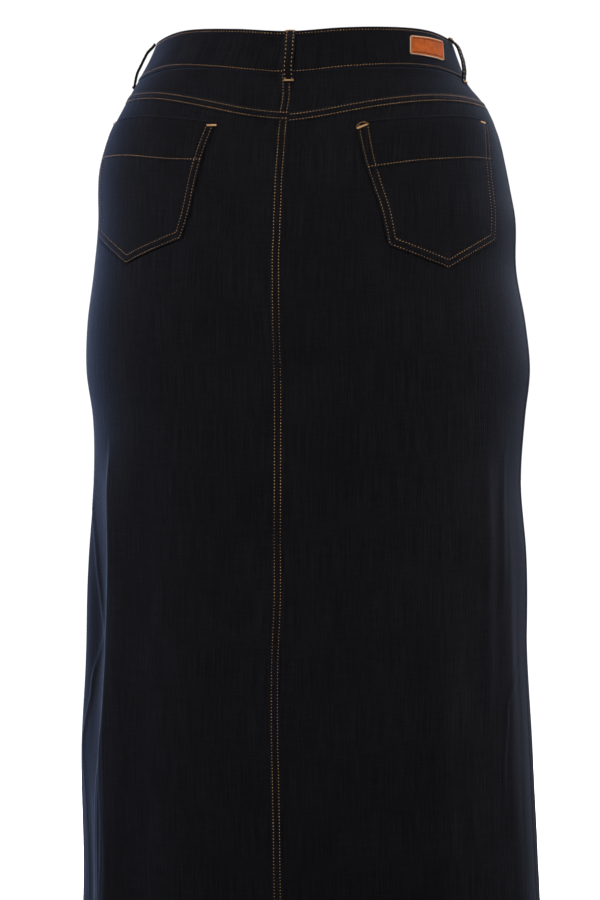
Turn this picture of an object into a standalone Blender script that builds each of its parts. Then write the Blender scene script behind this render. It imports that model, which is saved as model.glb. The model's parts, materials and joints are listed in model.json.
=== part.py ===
# A long denim skirt in its worn form: waistband, V yoke, panels, patch pockets,
# belt loops, leather patch, fly and shank button, each a separate closed solid.
# Metres, +Z up, -Y the back of the garment, +X the wearer's right.
# The origin is the centre of the waist opening, halfway up the waistband.
import math
from collections import namedtuple

import bmesh
import bpy
import numpy as np
from mathutils import Matrix, Vector

# Lengths measured on the cloth
SKIRT_LENGTH = 0.985
BAND_DEPTH = 0.0463
HEM_DEPTH = 0.025
SEAM_GAP = 0.0003

# Cloth thicknesses, and how far the layers stand off the skin of the panels
DENIM = 0.0015
TURNED_HEM = 0.0032
BAND_PROUD = 0.0009
BAND_INSIDE = 0.0019
POCKET_CLOTH = 0.0013
POCKET_HEM_CLOTH = 0.0021
PATCH_LEATHER = 0.0014
FLY_CLOTH = 0.0015

# Waistband lap at the centre front
LAP_ANGLE = 10.0
LAP_RISE_ANGLE = 12.0
LAP_LIFT = 0.0031

# Belt loops
LOOP_WIDTH = 0.0106
LOOP_CLOTH = 0.0022
LoopPlace = namedtuple("LoopPlace", "angle length_share")
LOOP_PLACES = {
    "loop_back": LoopPlace(-0.4, 1.0),
    "loop_side_right": LoopPlace(80.0, 0.97),
    "loop_side_left": LoopPlace(-86.0, 0.97),
    "loop_front_right": LoopPlace(141.0, 1.0),
    "loop_front_left": LoopPlace(-141.0, 1.0),
}

# Shank button
BUTTON_RADIUS = 0.0085
BUTTON_HEIGHT = 0.0032
BUTTON_RIM = 0.0012
SHANK_RADIUS = 0.0032
SHANK_HEIGHT = 0.0018
BUTTON_DOWN = 0.022

# Columns of facets in each quarter, from centre back to side seam or side seam to centre front
COLUMNS = 17
# Rows of points down the waistband, down the yoke, and from the yoke to the first level row
BAND_ROWS = 4
YOKE_ROWS = 4
TOP_ROWS = 4
# Points along a line on the cloth whose length is measured, and how far down it is measured
MEASURE_POINTS = 61
MEASURED_DROP = 0.30

# Horizontal sections of the skin. A positive turn moves the back towards the wearer's right,
# and fullness is 2 for an ellipse and more for a squarer oval.
Section = namedtuple("Section", "height centre_x centre_y half_width back front fullness turn")
SECTIONS = [
    Section(-0.990, 0.0093, -0.002, 0.2588, 0.152, 0.155, 2.20, -3.0),
    Section(-0.900, 0.0083, -0.002, 0.2553, 0.150, 0.154, 2.20, -3.0),
    Section(-0.760, 0.0038, -0.003, 0.2532, 0.147, 0.150, 2.20, -3.0),
    Section(-0.640, 0.0042, -0.005, 0.2462, 0.144, 0.146, 2.20, -2.5),
    Section(-0.540, 0.0055, -0.008, 0.2431, 0.142, 0.142, 2.20, -2.0),
    Section(-0.460, 0.0056, -0.012, 0.2374, 0.143, 0.138, 2.25, -2.0),
    Section(-0.390, 0.0079, -0.014, 0.2401, 0.145, 0.136, 2.30, -2.5),
    Section(-0.340, 0.0071, -0.015, 0.2463, 0.146, 0.136, 2.30, -2.5),
    Section(-0.290, 0.0054, -0.016, 0.2434, 0.147, 0.136, 2.30, -2.5),
    Section(-0.230, 0.0041, -0.016, 0.2341, 0.146, 0.135, 2.30, -2.0),
    Section(-0.170, 0.0058, -0.015, 0.2306, 0.143, 0.133, 2.30, -1.0),
    Section(-0.145, 0.0030, -0.014, 0.2286, 0.141, 0.132, 2.25, -0.5),
    Section(-0.120, 0.0008, -0.012, 0.2256, 0.138, 0.130, 2.25, 0.0),
    Section(-0.080, 0.0011, -0.009, 0.2149, 0.133, 0.126, 2.20, 1.0),
    Section(-0.050, 0.0017, -0.006, 0.2005, 0.129, 0.122, 2.15, 2.5),
    Section(-0.025, -0.0014, -0.004, 0.1838, 0.125, 0.119, 2.10, 3.5),
    Section(0.000, 0.0004, -0.002, 0.1712, 0.122, 0.116, 2.05, 4.0),
    Section(0.034, 0.0016, 0.001, 0.1588, 0.118, 0.113, 2.05, 4.0),
]

# Height of the waist edge around the body
Edge = namedtuple("Edge", "angle height")
WAIST_EDGE = [
    Edge(-200.0, 0.014),
    Edge(-180.0, 0.013),
    Edge(-140.0, 0.017),
    Edge(-100.0, 0.0225),
    Edge(-75.0, 0.0225),
    Edge(-48.0, 0.0285),
    Edge(-22.0, 0.0255),
    Edge(0.0, 0.0212),
    Edge(18.0, 0.0250),
    Edge(34.0, 0.0272),
    Edge(60.0, 0.0275),
    Edge(80.0, 0.0225),
    Edge(100.0, 0.021),
    Edge(140.0, 0.016),
    Edge(180.0, 0.013),
    Edge(200.0, 0.014),
]

# Depth of the yoke seam below the waist edge, measured on the cloth
Yoke = namedtuple("Yoke", "angle down")
YOKE_LEFT = [
    Yoke(-180.0, 0.0690),
    Yoke(-90.0, 0.0690),
    Yoke(-72.0, 0.0715),
    Yoke(-52.0, 0.0775),
    Yoke(-30.0, 0.0843),
    Yoke(-12.0, 0.0915),
    Yoke(0.0, 0.0950),
]
YOKE_RIGHT = [
    Yoke(0.0, 0.0975),
    Yoke(12.0, 0.0940),
    Yoke(24.0, 0.0900),
    Yoke(38.0, 0.0870),
    Yoke(63.0, 0.0853),
    Yoke(90.0, 0.0830),
    Yoke(180.0, 0.0830),
]

# Outlines of what lies on the cloth. Each corner has its distance across the cloth from the
# centre back, and its distance down the cloth from the waist edge.
Corner = namedtuple("Corner", "across down")
POCKET_CORNERS = {
    "pocket_left": [
        Corner(0.0740, 0.1075),
        Corner(0.2380, 0.1022),
        Corner(0.2460, 0.2310),
        Corner(0.1790, 0.2680),
        Corner(0.1080, 0.2365),
    ],
    "pocket_right": [
        Corner(0.0800, 0.1100),
        Corner(0.2440, 0.1100),
        Corner(0.2475, 0.2470),
        Corner(0.1870, 0.2785),
        Corner(0.1200, 0.2475),
    ],
}
POCKET_SIDE = {"pocket_left": -1, "pocket_right": 1}
# How far down its two sides a pocket's turned hem reaches
POCKET_HEM_SHARE = 0.345
# Width over which a turned hem steps down to the single cloth
HEM_STEP = 0.002

PATCH_CORNERS = [
    Corner(0.1315, 0.0096),
    Corner(0.1828, 0.0086),
    Corner(0.1812, 0.0338),
    Corner(0.1321, 0.0310),
]

# Outline of the fly, its distances across measured from the centre front on the wearer's left
FLY_CORNERS = [
    Corner(0.0012, 0.0478),
    Corner(0.0400, 0.0478),
    Corner(0.0400, 0.1650),
    Corner(0.0330, 0.1900),
    Corner(0.0180, 0.2060),
    Corner(0.0012, 0.2120),
]

# Standing ridges (+) and troughs (-) of the hanging cloth
Fold = namedtuple("Fold", "angle_above angle_below half_angle depth top bottom")
FOLDS = [
    Fold(-73.0, -53.0, 8.0, 0.0050, -0.45, -1.20),
    Fold(-56.0, -66.0, 7.0, -0.0035, -0.50, -1.20),
    Fold(-94.0, -88.0, 8.0, 0.0015, -0.48, -1.20),
    Fold(-42.0, -38.0, 8.0, -0.0022, -0.42, -1.20),
    Fold(55.0, 61.0, 7.5, -0.0050, -0.48, -1.20),
    Fold(68.0, 75.0, 8.0, 0.0045, -0.44, -1.20),
    Fold(86.0, 90.0, 8.0, -0.0028, -0.52, -1.20),
    Fold(42.0, 45.0, 8.0, 0.0022, -0.50, -1.20),
    Fold(112.0, 118.0, 9.0, 0.0050, -0.42, -1.20),
    Fold(131.0, 135.0, 8.0, -0.0042, -0.50, -1.20),
    Fold(158.0, 152.0, 9.0, 0.0030, -0.45, -1.20),
    Fold(-108.0, -116.0, 9.0, 0.0045, -0.44, -1.20),
    Fold(-131.0, -136.0, 8.0, -0.0040, -0.48, -1.20),
    Fold(-156.0, -150.0, 9.0, 0.0030, -0.50, -1.20),
]
FOLD_FADE = 0.16

# Middle line of a belt loop: distance down the cloth, and height of its underside over the skin
LoopPoint = namedtuple("LoopPoint", "down stand")
LOOP_POINTS = [
    LoopPoint(0.0004, 0.0013),
    LoopPoint(0.0045, 0.0032),
    LoopPoint(0.0120, 0.0071),
    LoopPoint(0.0220, 0.0081),
    LoopPoint(0.0330, 0.0077),
    LoopPoint(0.0430, 0.0058),
    LoopPoint(0.0500, 0.0024),
    LoopPoint(0.0530, 0.0009),
    LoopPoint(0.0575, 0.0005),
]

# Heights of the rows of facets below the yoke
FIRST_LEVEL = -0.115
ROW_STEPS = [(-0.40, 0.029), (-0.64, 0.048), (-0.94, 0.075)]

Finish = namedtuple("Finish", "colour roughness metallic")
INDIGO_DENIM = Finish((0.010, 0.011, 0.018, 1.0), 0.85, 0.0)
TAN_LEATHER = Finish((0.55, 0.13, 0.035, 1.0), 0.55, 0.0)
AGED_BRASS = Finish((0.42, 0.28, 0.12, 1.0), 0.38, 1.0)


def clear_scene():
    for item in list(bpy.data.objects):
        bpy.data.objects.remove(item, do_unlink=True)


def through(table, column, place, at):
    """Smooth curve through one column of a table, read at the given places."""
    xs = np.array([getattr(row, place) for row in table])
    ys = np.array([getattr(row, column) for row in table])
    at = np.asarray(at, float)
    slopes = np.gradient(ys, xs)
    i = np.clip(np.searchsorted(xs, at) - 1, 0, len(xs) - 2)
    span = xs[i + 1] - xs[i]
    s = np.clip((at - xs[i]) / span, 0.0, 1.0)
    return (
        (1 + 2 * s) * (1 - s) ** 2 * ys[i]
        + s * (1 - s) ** 2 * span * slopes[i]
        + s * s * (3 - 2 * s) * ys[i + 1]
        + s * s * (s - 1) * span * slopes[i + 1]
    )


def ease(share):
    share = np.clip(share, 0.0, 1.0)
    return share * share * (3.0 - 2.0 * share)


def body_form(angle, height):
    """Point of the smooth form. Angles are degrees from the centre back, + to the wearer's right."""
    angle, height = np.broadcast_arrays(np.asarray(angle, float), np.asarray(height, float))
    read = {name: through(SECTIONS, name, "height", height) for name in Section._fields[1:]}
    sine = np.sin(np.radians(angle))
    cosine = np.cos(np.radians(angle))
    depth = np.where(cosine > 0.0, read["back"], read["front"])
    power = 2.0 / read["fullness"]
    x = read["half_width"] * np.sign(sine) * np.abs(sine) ** power
    y = -depth * np.sign(cosine) * np.abs(cosine) ** power
    turn = np.radians(read["turn"])
    return np.stack(
        [
            read["centre_x"] + x * np.cos(turn) - y * np.sin(turn),
            read["centre_y"] + x * np.sin(turn) + y * np.cos(turn),
            height,
        ],
        axis=-1,
    )


def unit(vectors):
    return vectors / np.linalg.norm(vectors, axis=-1, keepdims=True)


def directions(surface, angle, height):
    """Along the section, up the cloth and out of it, at each point of a surface."""
    turn_step = 0.6
    rise_step = 0.002
    along = unit(surface(angle + turn_step, height) - surface(angle - turn_step, height))
    up = unit(surface(angle, height + rise_step) - surface(angle, height - rise_step))
    out = unit(np.cross(along, up))
    return along, up, out


def fold_height(angle, height):
    total = np.zeros(np.broadcast(angle, height).shape)
    for fold in FOLDS:
        share = np.clip((fold.top - height) / (fold.top + SKIRT_LENGTH), 0.0, 1.0)
        centre = fold.angle_above + (fold.angle_below - fold.angle_above) * share
        off = (angle - centre + 180.0) % 360.0 - 180.0
        strength = ease((fold.top - height) / FOLD_FADE) * ease((height - fold.bottom) / FOLD_FADE)
        total = total + fold.depth * strength * np.exp(-((off / fold.half_angle) ** 2))
    return total


def skin(angle, height):
    """Outer face of the panels: the smooth form with its hanging folds."""
    angle = np.asarray(angle, float)
    height = np.asarray(height, float)
    _, _, out = directions(body_form, angle, height)
    return body_form(angle, height) + out * fold_height(angle, height)[..., None]


def edge_height(angle):
    return through(WAIST_EDGE, "height", "angle", angle)


def height_below_edge(angle, down):
    """Height of the point a given distance down the cloth from the waist edge."""
    levels = edge_height(angle) - np.linspace(0.0, MEASURED_DROP, 2 * MEASURE_POINTS)
    line = body_form(angle, levels)
    fallen = np.concatenate([[0.0], np.cumsum(np.linalg.norm(np.diff(line, axis=0), axis=1))])
    return float(np.interp(down, fallen, levels))


def yoke_down(angle, side):
    table = YOKE_RIGHT if side > 0 else YOKE_LEFT
    return float(through(table, "down", "angle", angle))


def yoke_rows(angle, side):
    """Heights from the band's lower edge to the yoke seam."""
    downs = np.linspace(BAND_DEPTH, yoke_down(angle, side), YOKE_ROWS)
    return [height_below_edge(angle, down) for down in downs]


def panel_levels():
    """Heights of the level rows, from below the yoke to the hem."""
    levels = [FIRST_LEVEL]
    for bottom, step in ROW_STEPS:
        count = max(1, round((levels[-1] - bottom) / step))
        levels += list(np.linspace(levels[-1], bottom, count + 1)[1:])
    return levels


def panel_rows(angle, side):
    """Heights from the yoke seam to the hem."""
    seam = yoke_rows(angle, side)[-1]
    rows = list(np.linspace(seam, FIRST_LEVEL, TOP_ROWS)[:-1]) + panel_levels()
    hem = edge_height(0.0) - SKIRT_LENGTH
    return rows + [hem + HEM_DEPTH, hem + HEM_DEPTH - HEM_STEP, hem]


def quarter(first, last):
    return list(np.linspace(first, last, COLUMNS + 1))


def material(name, finish):
    made = bpy.data.materials.new(name)
    made.use_nodes = True
    shader = made.node_tree.nodes["Principled BSDF"]
    shader.inputs["Base Color"].default_value = finish.colour
    shader.inputs["Roughness"].default_value = finish.roughness
    shader.inputs["Metallic"].default_value = finish.metallic
    made.diffuse_color = finish.colour
    return made


def add_object(name, mesh, finish, sharp_degrees=30.0):
    mesh.materials.append(material(name + "_finish", finish))
    mesh.shade_smooth()
    mesh.set_sharp_from_angle(angle=math.radians(sharp_degrees))
    item = bpy.data.objects.new(name, mesh)
    bpy.context.scene.collection.objects.link(item)
    return item


def grid_triangles(rows, columns, start=0):
    """Two triangles for each cell, all with the same diagonal, facing out of the cloth."""
    faces = []
    for i in range(rows - 1):
        for j in range(columns - 1):
            a = start + i * columns + j
            b = a + columns
            faces.append((a, b, b + 1))
            faces.append((a, b + 1, a + 1))
    return faces


def closed_wall(name, outer, inner, finish):
    """Solid wall between an outer and an inner grid of points, rows from the top down."""
    rows, columns = outer.shape[:2]
    count = rows * columns
    points = np.concatenate([outer.reshape(-1, 3), inner.reshape(-1, 3)])
    faces = grid_triangles(rows, columns)
    faces += [tuple(reversed(f)) for f in grid_triangles(rows, columns, count)]
    rim = [j for j in range(columns)]
    rim += [i * columns + columns - 1 for i in range(1, rows)]
    rim += [(rows - 1) * columns + j for j in range(columns - 2, -1, -1)]
    rim += [i * columns for i in range(rows - 2, 0, -1)]
    for here, there in zip(rim, rim[1:] + rim[:1]):
        faces.append((here, there, there + count, here + count))
    mesh = bpy.data.meshes.new(name)
    mesh.from_pydata([tuple(p) for p in points], [], faces)
    shape = bmesh.new()
    shape.from_mesh(mesh)
    bmesh.ops.recalc_face_normals(shape, faces=shape.faces)
    shape.to_mesh(mesh)
    shape.free()
    add_object(name, mesh, finish)


Cloth = namedtuple("Cloth", "outer inner out across down")


def lay_cloth(angles, heights, outside, inside):
    """Outer and inner points of a piece of cloth, its edges drawn in by half a seam gap.

    The cloth reaches the given distances out of the skin and into it.
    """
    angles = np.broadcast_to(np.asarray(angles, float)[None, :], heights.shape)
    base = skin(angles, heights)
    along, up, out = directions(skin, angles, heights)
    draw_in = np.zeros_like(base)
    draw_in[:, 0] += along[:, 0]
    draw_in[:, -1] -= along[:, -1]
    draw_in[0] -= up[0]
    draw_in[-1] += up[-1]
    base = base + draw_in * (SEAM_GAP / 2)
    across, down = cloth_distances(angles, heights)
    return Cloth(base + out * outside, base - out * inside, out, across, down)


def cloth_distances(angles, heights):
    """Distance of each point from the centre back across the cloth, and below the waist edge."""
    share = np.linspace(0.0, 1.0, MEASURE_POINTS)[:, None, None]
    edge = edge_height(angles)
    level = body_form(angles * share, heights)
    plumb = body_form(angles, edge + (heights - edge) * share)
    across = np.linalg.norm(np.diff(level, axis=0), axis=-1).sum(axis=0)
    down = np.linalg.norm(np.diff(plumb, axis=0), axis=-1).sum(axis=0)
    return across, down


def stand_off(columns, rows, outside, inside):
    """Arrays of how far a piece reaches out of and into the skin, one for each point."""
    shape = (rows, columns, 1)
    return np.full(shape, outside), np.full(shape, inside)


def make_waistband():
    """One folded strip all round, its left end lapped over its right end at the centre front."""
    angles = [-180.0 - LAP_ANGLE, -180.0 - LAP_ANGLE / 2]
    for first in (-180.0, -90.0, 0.0, 90.0):
        angles += quarter(first, first + 90.0)[:-1]
    angles += [180.0 - LAP_ANGLE / 4]
    angles = np.array(angles)
    downs = np.linspace(0.0, BAND_DEPTH, BAND_ROWS)
    wrapped = np.where(angles < -180.0, angles + 360.0, angles)
    heights = np.array([[height_below_edge(a, down) for a in wrapped] for down in downs])
    outside, inside = stand_off(len(angles), len(downs), BAND_PROUD, BAND_INSIDE)
    lift = LAP_LIFT * ease((-180.0 + LAP_RISE_ANGLE - angles) / LAP_RISE_ANGLE)[None, :, None]
    cloth = lay_cloth(wrapped, heights, outside + lift, inside - lift)
    closed_wall("waistband", cloth.outer, cloth.inner, INDIGO_DENIM)


def make_yoke(name, side):
    angles = quarter(-90.0, 0.0) if side < 0 else quarter(0.0, 90.0)
    heights = np.array([yoke_rows(a, side) for a in angles]).T
    outside, inside = stand_off(len(angles), len(heights), 0.0, DENIM)
    cloth = lay_cloth(angles, heights, outside, inside)
    closed_wall(name, cloth.outer, cloth.inner, INDIGO_DENIM)


def panel_heights(angles, side, with_yoke):
    columns = []
    for angle in angles:
        top = yoke_rows(angle, side)[:-1] if with_yoke else []
        columns.append(top + panel_rows(angle, side))
    return np.array(columns).T


def make_panel(name, angles, side, with_yoke):
    heights = panel_heights(angles, side, with_yoke)
    outside, inside = stand_off(len(angles), len(heights), 0.0, DENIM)
    inside[-2:] = TURNED_HEM
    cloth = lay_cloth(angles, heights, outside, inside)
    closed_wall(name, cloth.outer, cloth.inner, INDIGO_DENIM)
    return cloth


def band_face(angles):
    """Outer face of the waistband between two angles, with the band's own columns and rows."""
    downs = np.linspace(0.0, BAND_DEPTH, BAND_ROWS)
    heights = np.array([[height_below_edge(a, d) for a in angles] for d in downs])
    outside, inside = stand_off(len(angles), BAND_ROWS, BAND_PROUD, BAND_INSIDE)
    return lay_cloth(angles, heights, outside, inside)


def layer_on(name, cloth, corners, thickness, finish, hem_thickness=None):
    """Cut a convex piece out of a cloth's own facets and move it out, so that it lies on them.

    The cut is made in the flat, where a point is its distance across and down the cloth. Each
    point then goes back to its place on its facet.
    """
    rows, columns = cloth.across.shape
    flat_points = np.stack([cloth.across.ravel(), cloth.down.ravel()], axis=-1)
    facets = grid_triangles(rows, columns)
    shape = bmesh.new()
    verts = [shape.verts.new((x, y, 0.0)) for x, y in flat_points]
    for facet in facets:
        shape.faces.new([verts[i] for i in facet])
    outline = [Vector((corner.across, corner.down, 0.0)) for corner in corners]
    middle = sum(outline, Vector()) / len(outline)
    for here, there in zip(outline, outline[1:] + outline[:1]):
        cut(shape, here, away_from(middle, here, there), True)
    hem_line = None
    if hem_thickness is not None:
        here = outline[0].lerp(outline[-1], POCKET_HEM_SHARE)
        there = outline[1].lerp(outline[2], POCKET_HEM_SHARE)
        normal = -away_from(middle, here, there)
        hem_line = (here, normal)
        cut(shape, here, normal, False)
        cut(shape, here + normal * HEM_STEP, normal, False)
    bmesh.ops.triangulate(shape, faces=shape.faces)
    seat_on_facets(shape, cloth, flat_points, facets, thickness, hem_line, hem_thickness)
    mesh = bpy.data.meshes.new(name)
    shape.to_mesh(mesh)
    shape.free()
    add_object(name, mesh, finish)


def away_from(middle, here, there):
    """Direction in the flat, square to a line, that leads away from a point."""
    run = there - here
    normal = Vector((run.y, -run.x, 0.0)).normalized()
    return -normal if normal.dot(middle - here) > 0.0 else normal


def cut(shape, point, normal, clear):
    geometry = shape.verts[:] + shape.edges[:] + shape.faces[:]
    bmesh.ops.bisect_plane(
        shape, geom=geometry, dist=1e-6, plane_co=point, plane_no=normal, clear_outer=clear
    )


def facet_weights(point, flat_points, facets):
    """The facet that holds a point of the flat, and the shares of its three corners."""
    corners = flat_points[np.array(facets)]
    first = corners[:, 1] - corners[:, 0]
    second = corners[:, 2] - corners[:, 0]
    to_point = np.array(point) - corners[:, 0]
    area = first[:, 0] * second[:, 1] - first[:, 1] * second[:, 0]
    b = (to_point[:, 0] * second[:, 1] - to_point[:, 1] * second[:, 0]) / area
    c = (first[:, 0] * to_point[:, 1] - first[:, 1] * to_point[:, 0]) / area
    shares = np.stack([1.0 - b - c, b, c], axis=-1)
    best = int(shares.min(axis=1).argmax())
    return facets[best], shares[best]


def seat_on_facets(shape, cloth, flat_points, facets, thickness, hem_line, hem_thickness):
    """Turn the flat cutting into a closed solid that lies on the cloth."""
    outer = cloth.outer.reshape(-1, 3)
    out = cloth.out.reshape(-1, 3)
    low = {}
    high = {}
    for vert in shape.verts[:]:
        facet, shares = facet_weights(vert.co.xy, flat_points, facets)
        place = Vector(shares @ outer[list(facet)])
        normal = Vector(shares @ out[list(facet)]).normalized()
        thick = thickness
        if hem_line is not None and (vert.co - hem_line[0]).dot(hem_line[1]) < 1e-5:
            thick = hem_thickness
        low[vert] = shape.verts.new(place + normal * SEAM_GAP)
        high[vert] = shape.verts.new(place + normal * (SEAM_GAP + thick))
    flat_faces = shape.faces[:]
    rim = [edge for edge in shape.edges if len(edge.link_faces) == 1]
    for edge in rim:
        a, b = edge.verts
        shape.faces.new((low[a], low[b], high[b], high[a]))
    for face in flat_faces:
        shape.faces.new([high[v] for v in face.verts])
        shape.faces.new([low[v] for v in reversed(face.verts[:])])
    bmesh.ops.delete(shape, geom=list(low), context="VERTS")
    bmesh.ops.recalc_face_normals(shape, faces=shape.faces)


def make_loop(name, angle, length_share):
    """A belt loop: a narrow strap that stands off the waistband between its two sewn ends."""
    downs = np.array([row.down for row in LOOP_POINTS]) * length_share
    stands = np.array([row.stand for row in LOOP_POINTS])
    heights = np.array([height_below_edge(angle, down) for down in downs])
    angles = np.full(len(downs), angle)
    base = skin(angles, heights)
    along, _, out = directions(skin, angles, heights)
    middle = base + out * stands[:, None]
    run = unit(np.gradient(middle, axis=0))
    outward = unit(np.cross(run, along))
    outward *= np.sign(np.sum(outward * out, axis=1))[:, None]
    across = np.linspace(-0.5, 0.5, 3) * LOOP_WIDTH
    under = middle[:, None] + along[:, None] * across[None, :, None]
    over = under + outward[:, None] * LOOP_CLOTH
    closed_wall(name, over, under, INDIGO_DENIM)


def make_button():
    """Shank button on the lapped end of the waistband, turned about its own axis."""
    profile = [
        (0.0, 0.0),
        (SHANK_RADIUS, 0.0),
        (SHANK_RADIUS, SHANK_HEIGHT),
        (BUTTON_RADIUS - BUTTON_RIM, SHANK_HEIGHT),
        (BUTTON_RADIUS, SHANK_HEIGHT + BUTTON_RIM / 2),
        (BUTTON_RADIUS, SHANK_HEIGHT + BUTTON_HEIGHT - BUTTON_RIM),
        (BUTTON_RADIUS - BUTTON_RIM / 2, SHANK_HEIGHT + BUTTON_HEIGHT),
        (BUTTON_RADIUS - BUTTON_RIM, SHANK_HEIGHT + BUTTON_HEIGHT),
        (BUTTON_RADIUS - 2 * BUTTON_RIM, SHANK_HEIGHT + BUTTON_HEIGHT - BUTTON_RIM / 2),
        (0.0, SHANK_HEIGHT + BUTTON_HEIGHT - BUTTON_RIM / 2),
    ]
    shape = bmesh.new()
    verts = [shape.verts.new((r, 0.0, h)) for r, h in profile]
    edges = [shape.edges.new(pair) for pair in zip(verts, verts[1:])]
    bmesh.ops.spin(
        shape,
        geom=verts + edges,
        cent=(0.0, 0.0, 0.0),
        axis=(0.0, 0.0, 1.0),
        angle=math.tau,
        steps=24,
        use_merge=True,
    )
    bmesh.ops.remove_doubles(shape, verts=shape.verts, dist=1e-6)
    bmesh.ops.recalc_face_normals(shape, faces=shape.faces)
    mesh = bpy.data.meshes.new("button")
    shape.to_mesh(mesh)
    shape.free()
    button = add_object("button", mesh, AGED_BRASS)
    angle = 180.0 - LAP_ANGLE / 2
    height = height_below_edge(angle, BUTTON_DOWN)
    along, up, out = directions(skin, np.array(angle), np.array(height))
    foot = skin(angle, height) + out * (BAND_PROUD + LAP_LIFT + SEAM_GAP)
    frame = Matrix((Vector(along), Vector(up), Vector(out))).transposed()
    button.location = foot
    button.rotation_euler = frame.to_euler()


def make_skirt():
    clear_scene()
    make_waistband()
    make_yoke("yoke_left", -1)
    make_yoke("yoke_right", 1)
    panels = {
        -1: make_panel("back_panel_left", quarter(-90.0, 0.0), -1, False),
        1: make_panel("back_panel_right", quarter(0.0, 90.0), 1, False),
    }
    front_left = make_panel("front_panel_left", quarter(-180.0, -90.0), -1, True)
    make_panel("front_panel_right", quarter(90.0, 180.0), 1, True)
    for name, corners in POCKET_CORNERS.items():
        panel = panels[POCKET_SIDE[name]]
        layer_on(name, panel, corners, POCKET_CLOTH, INDIGO_DENIM, hem_thickness=POCKET_HEM_CLOTH)
    layer_on("patch", band_face(quarter(0.0, 90.0)), PATCH_CORNERS, PATCH_LEATHER, TAN_LEATHER)
    from_centre_front = front_left.across[:, :1] - front_left.across
    front_left = front_left._replace(across=from_centre_front)
    layer_on("fly", front_left, FLY_CORNERS, FLY_CLOTH, INDIGO_DENIM)
    for name, place in LOOP_PLACES.items():
        make_loop(name, place.angle, place.length_share)
    make_button()


make_skirt()
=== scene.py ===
# A long indigo denim skirt in its worn form: the cloth, the sewing and the trims over the packed
# solids, with a plain pale floor, soft light and a level camera behind the skirt.
# Metres, +Z up, -Y the back of the skirt, +X the wearer's right.
import json
import math

import bpy
import numpy as np
from mathutils import Matrix, Vector

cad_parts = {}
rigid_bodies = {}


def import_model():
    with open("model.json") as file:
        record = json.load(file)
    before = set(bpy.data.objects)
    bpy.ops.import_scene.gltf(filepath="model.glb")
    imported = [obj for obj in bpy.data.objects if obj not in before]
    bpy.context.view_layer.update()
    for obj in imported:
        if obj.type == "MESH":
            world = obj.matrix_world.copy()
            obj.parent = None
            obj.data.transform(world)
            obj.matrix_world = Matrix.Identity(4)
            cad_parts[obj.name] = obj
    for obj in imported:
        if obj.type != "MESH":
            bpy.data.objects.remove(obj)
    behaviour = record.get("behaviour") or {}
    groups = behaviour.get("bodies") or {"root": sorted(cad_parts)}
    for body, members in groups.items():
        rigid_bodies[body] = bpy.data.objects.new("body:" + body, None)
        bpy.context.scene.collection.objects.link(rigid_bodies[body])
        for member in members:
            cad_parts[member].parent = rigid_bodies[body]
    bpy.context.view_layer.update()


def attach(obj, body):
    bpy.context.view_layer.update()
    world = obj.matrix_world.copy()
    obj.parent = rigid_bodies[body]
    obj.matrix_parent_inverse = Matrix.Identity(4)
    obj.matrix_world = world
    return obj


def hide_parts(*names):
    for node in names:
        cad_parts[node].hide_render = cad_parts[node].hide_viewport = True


for item in list(bpy.data.objects):
    bpy.data.objects.remove(item, do_unlink=True)
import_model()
print("the packed solids are loaded")

# ---- the form that the cloth lies on: the solids' sections, waist edge and folds, with two folds
# at the right back laid shallower than theirs
form = {
    "length": 0.985,
    "bandDepth": 0.0463,
    "foldFade": 0.16,
    "fluteFade": 0.07,
    "fluteBlunt": 0.08,
    "chartAngle": 0.5,  # degrees between the columns of the cloth's chart
    "chartHeight": 0.004,  # metres between its rows
    "degree": 0.0044,  # metres across in a degree, for a first guess
}
# height, centre x, centre y, half width, back, front, fullness, turn
sections = [
    (-0.99, 0.0093, -0.002, 0.2588, 0.152, 0.155, 2.2, -3.0),
    (-0.9, 0.0083, -0.002, 0.2553, 0.15, 0.154, 2.2, -3.0),
    (-0.76, 0.0038, -0.003, 0.2532, 0.147, 0.15, 2.2, -3.0),
    (-0.64, 0.0042, -0.005, 0.2462, 0.144, 0.146, 2.2, -2.5),
    (-0.54, 0.0055, -0.008, 0.2431, 0.142, 0.142, 2.2, -2.0),
    (-0.46, 0.0056, -0.012, 0.2374, 0.143, 0.138, 2.25, -2.0),
    (-0.39, 0.0079, -0.014, 0.2401, 0.145, 0.136, 2.3, -2.5),
    (-0.34, 0.0071, -0.015, 0.2463, 0.146, 0.136, 2.3, -2.5),
    (-0.29, 0.0054, -0.016, 0.2434, 0.147, 0.136, 2.3, -2.5),
    (-0.23, 0.0041, -0.016, 0.2341, 0.146, 0.135, 2.3, -2.0),
    (-0.17, 0.0058, -0.015, 0.2306, 0.143, 0.133, 2.3, -1.0),
    (-0.145, 0.003, -0.014, 0.2286, 0.141, 0.132, 2.25, -0.5),
    (-0.12, 0.0008, -0.012, 0.2256, 0.138, 0.13, 2.25, 0.0),
    (-0.08, 0.0011, -0.009, 0.2149, 0.133, 0.126, 2.2, 1.0),
    (-0.05, 0.0017, -0.006, 0.2005, 0.129, 0.122, 2.15, 2.5),
    (-0.025, -0.0014, -0.004, 0.1838, 0.125, 0.119, 2.1, 3.5),
    (0.0, 0.0004, -0.002, 0.1712, 0.122, 0.116, 2.05, 4.0),
    (0.034, 0.0016, 0.001, 0.1588, 0.118, 0.113, 2.05, 4.0),
]
# angle from the centre back, height
waistEdge = [
    (-200.0, 0.014), (-180.0, 0.013), (-140.0, 0.017), (-100.0, 0.0225), (-75.0, 0.0225),
    (-48.0, 0.0285), (-22.0, 0.0255), (0.0, 0.0212), (18.0, 0.025), (34.0, 0.0272), (60.0, 0.0275),
    (80.0, 0.0225), (100.0, 0.021), (140.0, 0.016), (180.0, 0.013), (200.0, 0.014),
]
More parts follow.
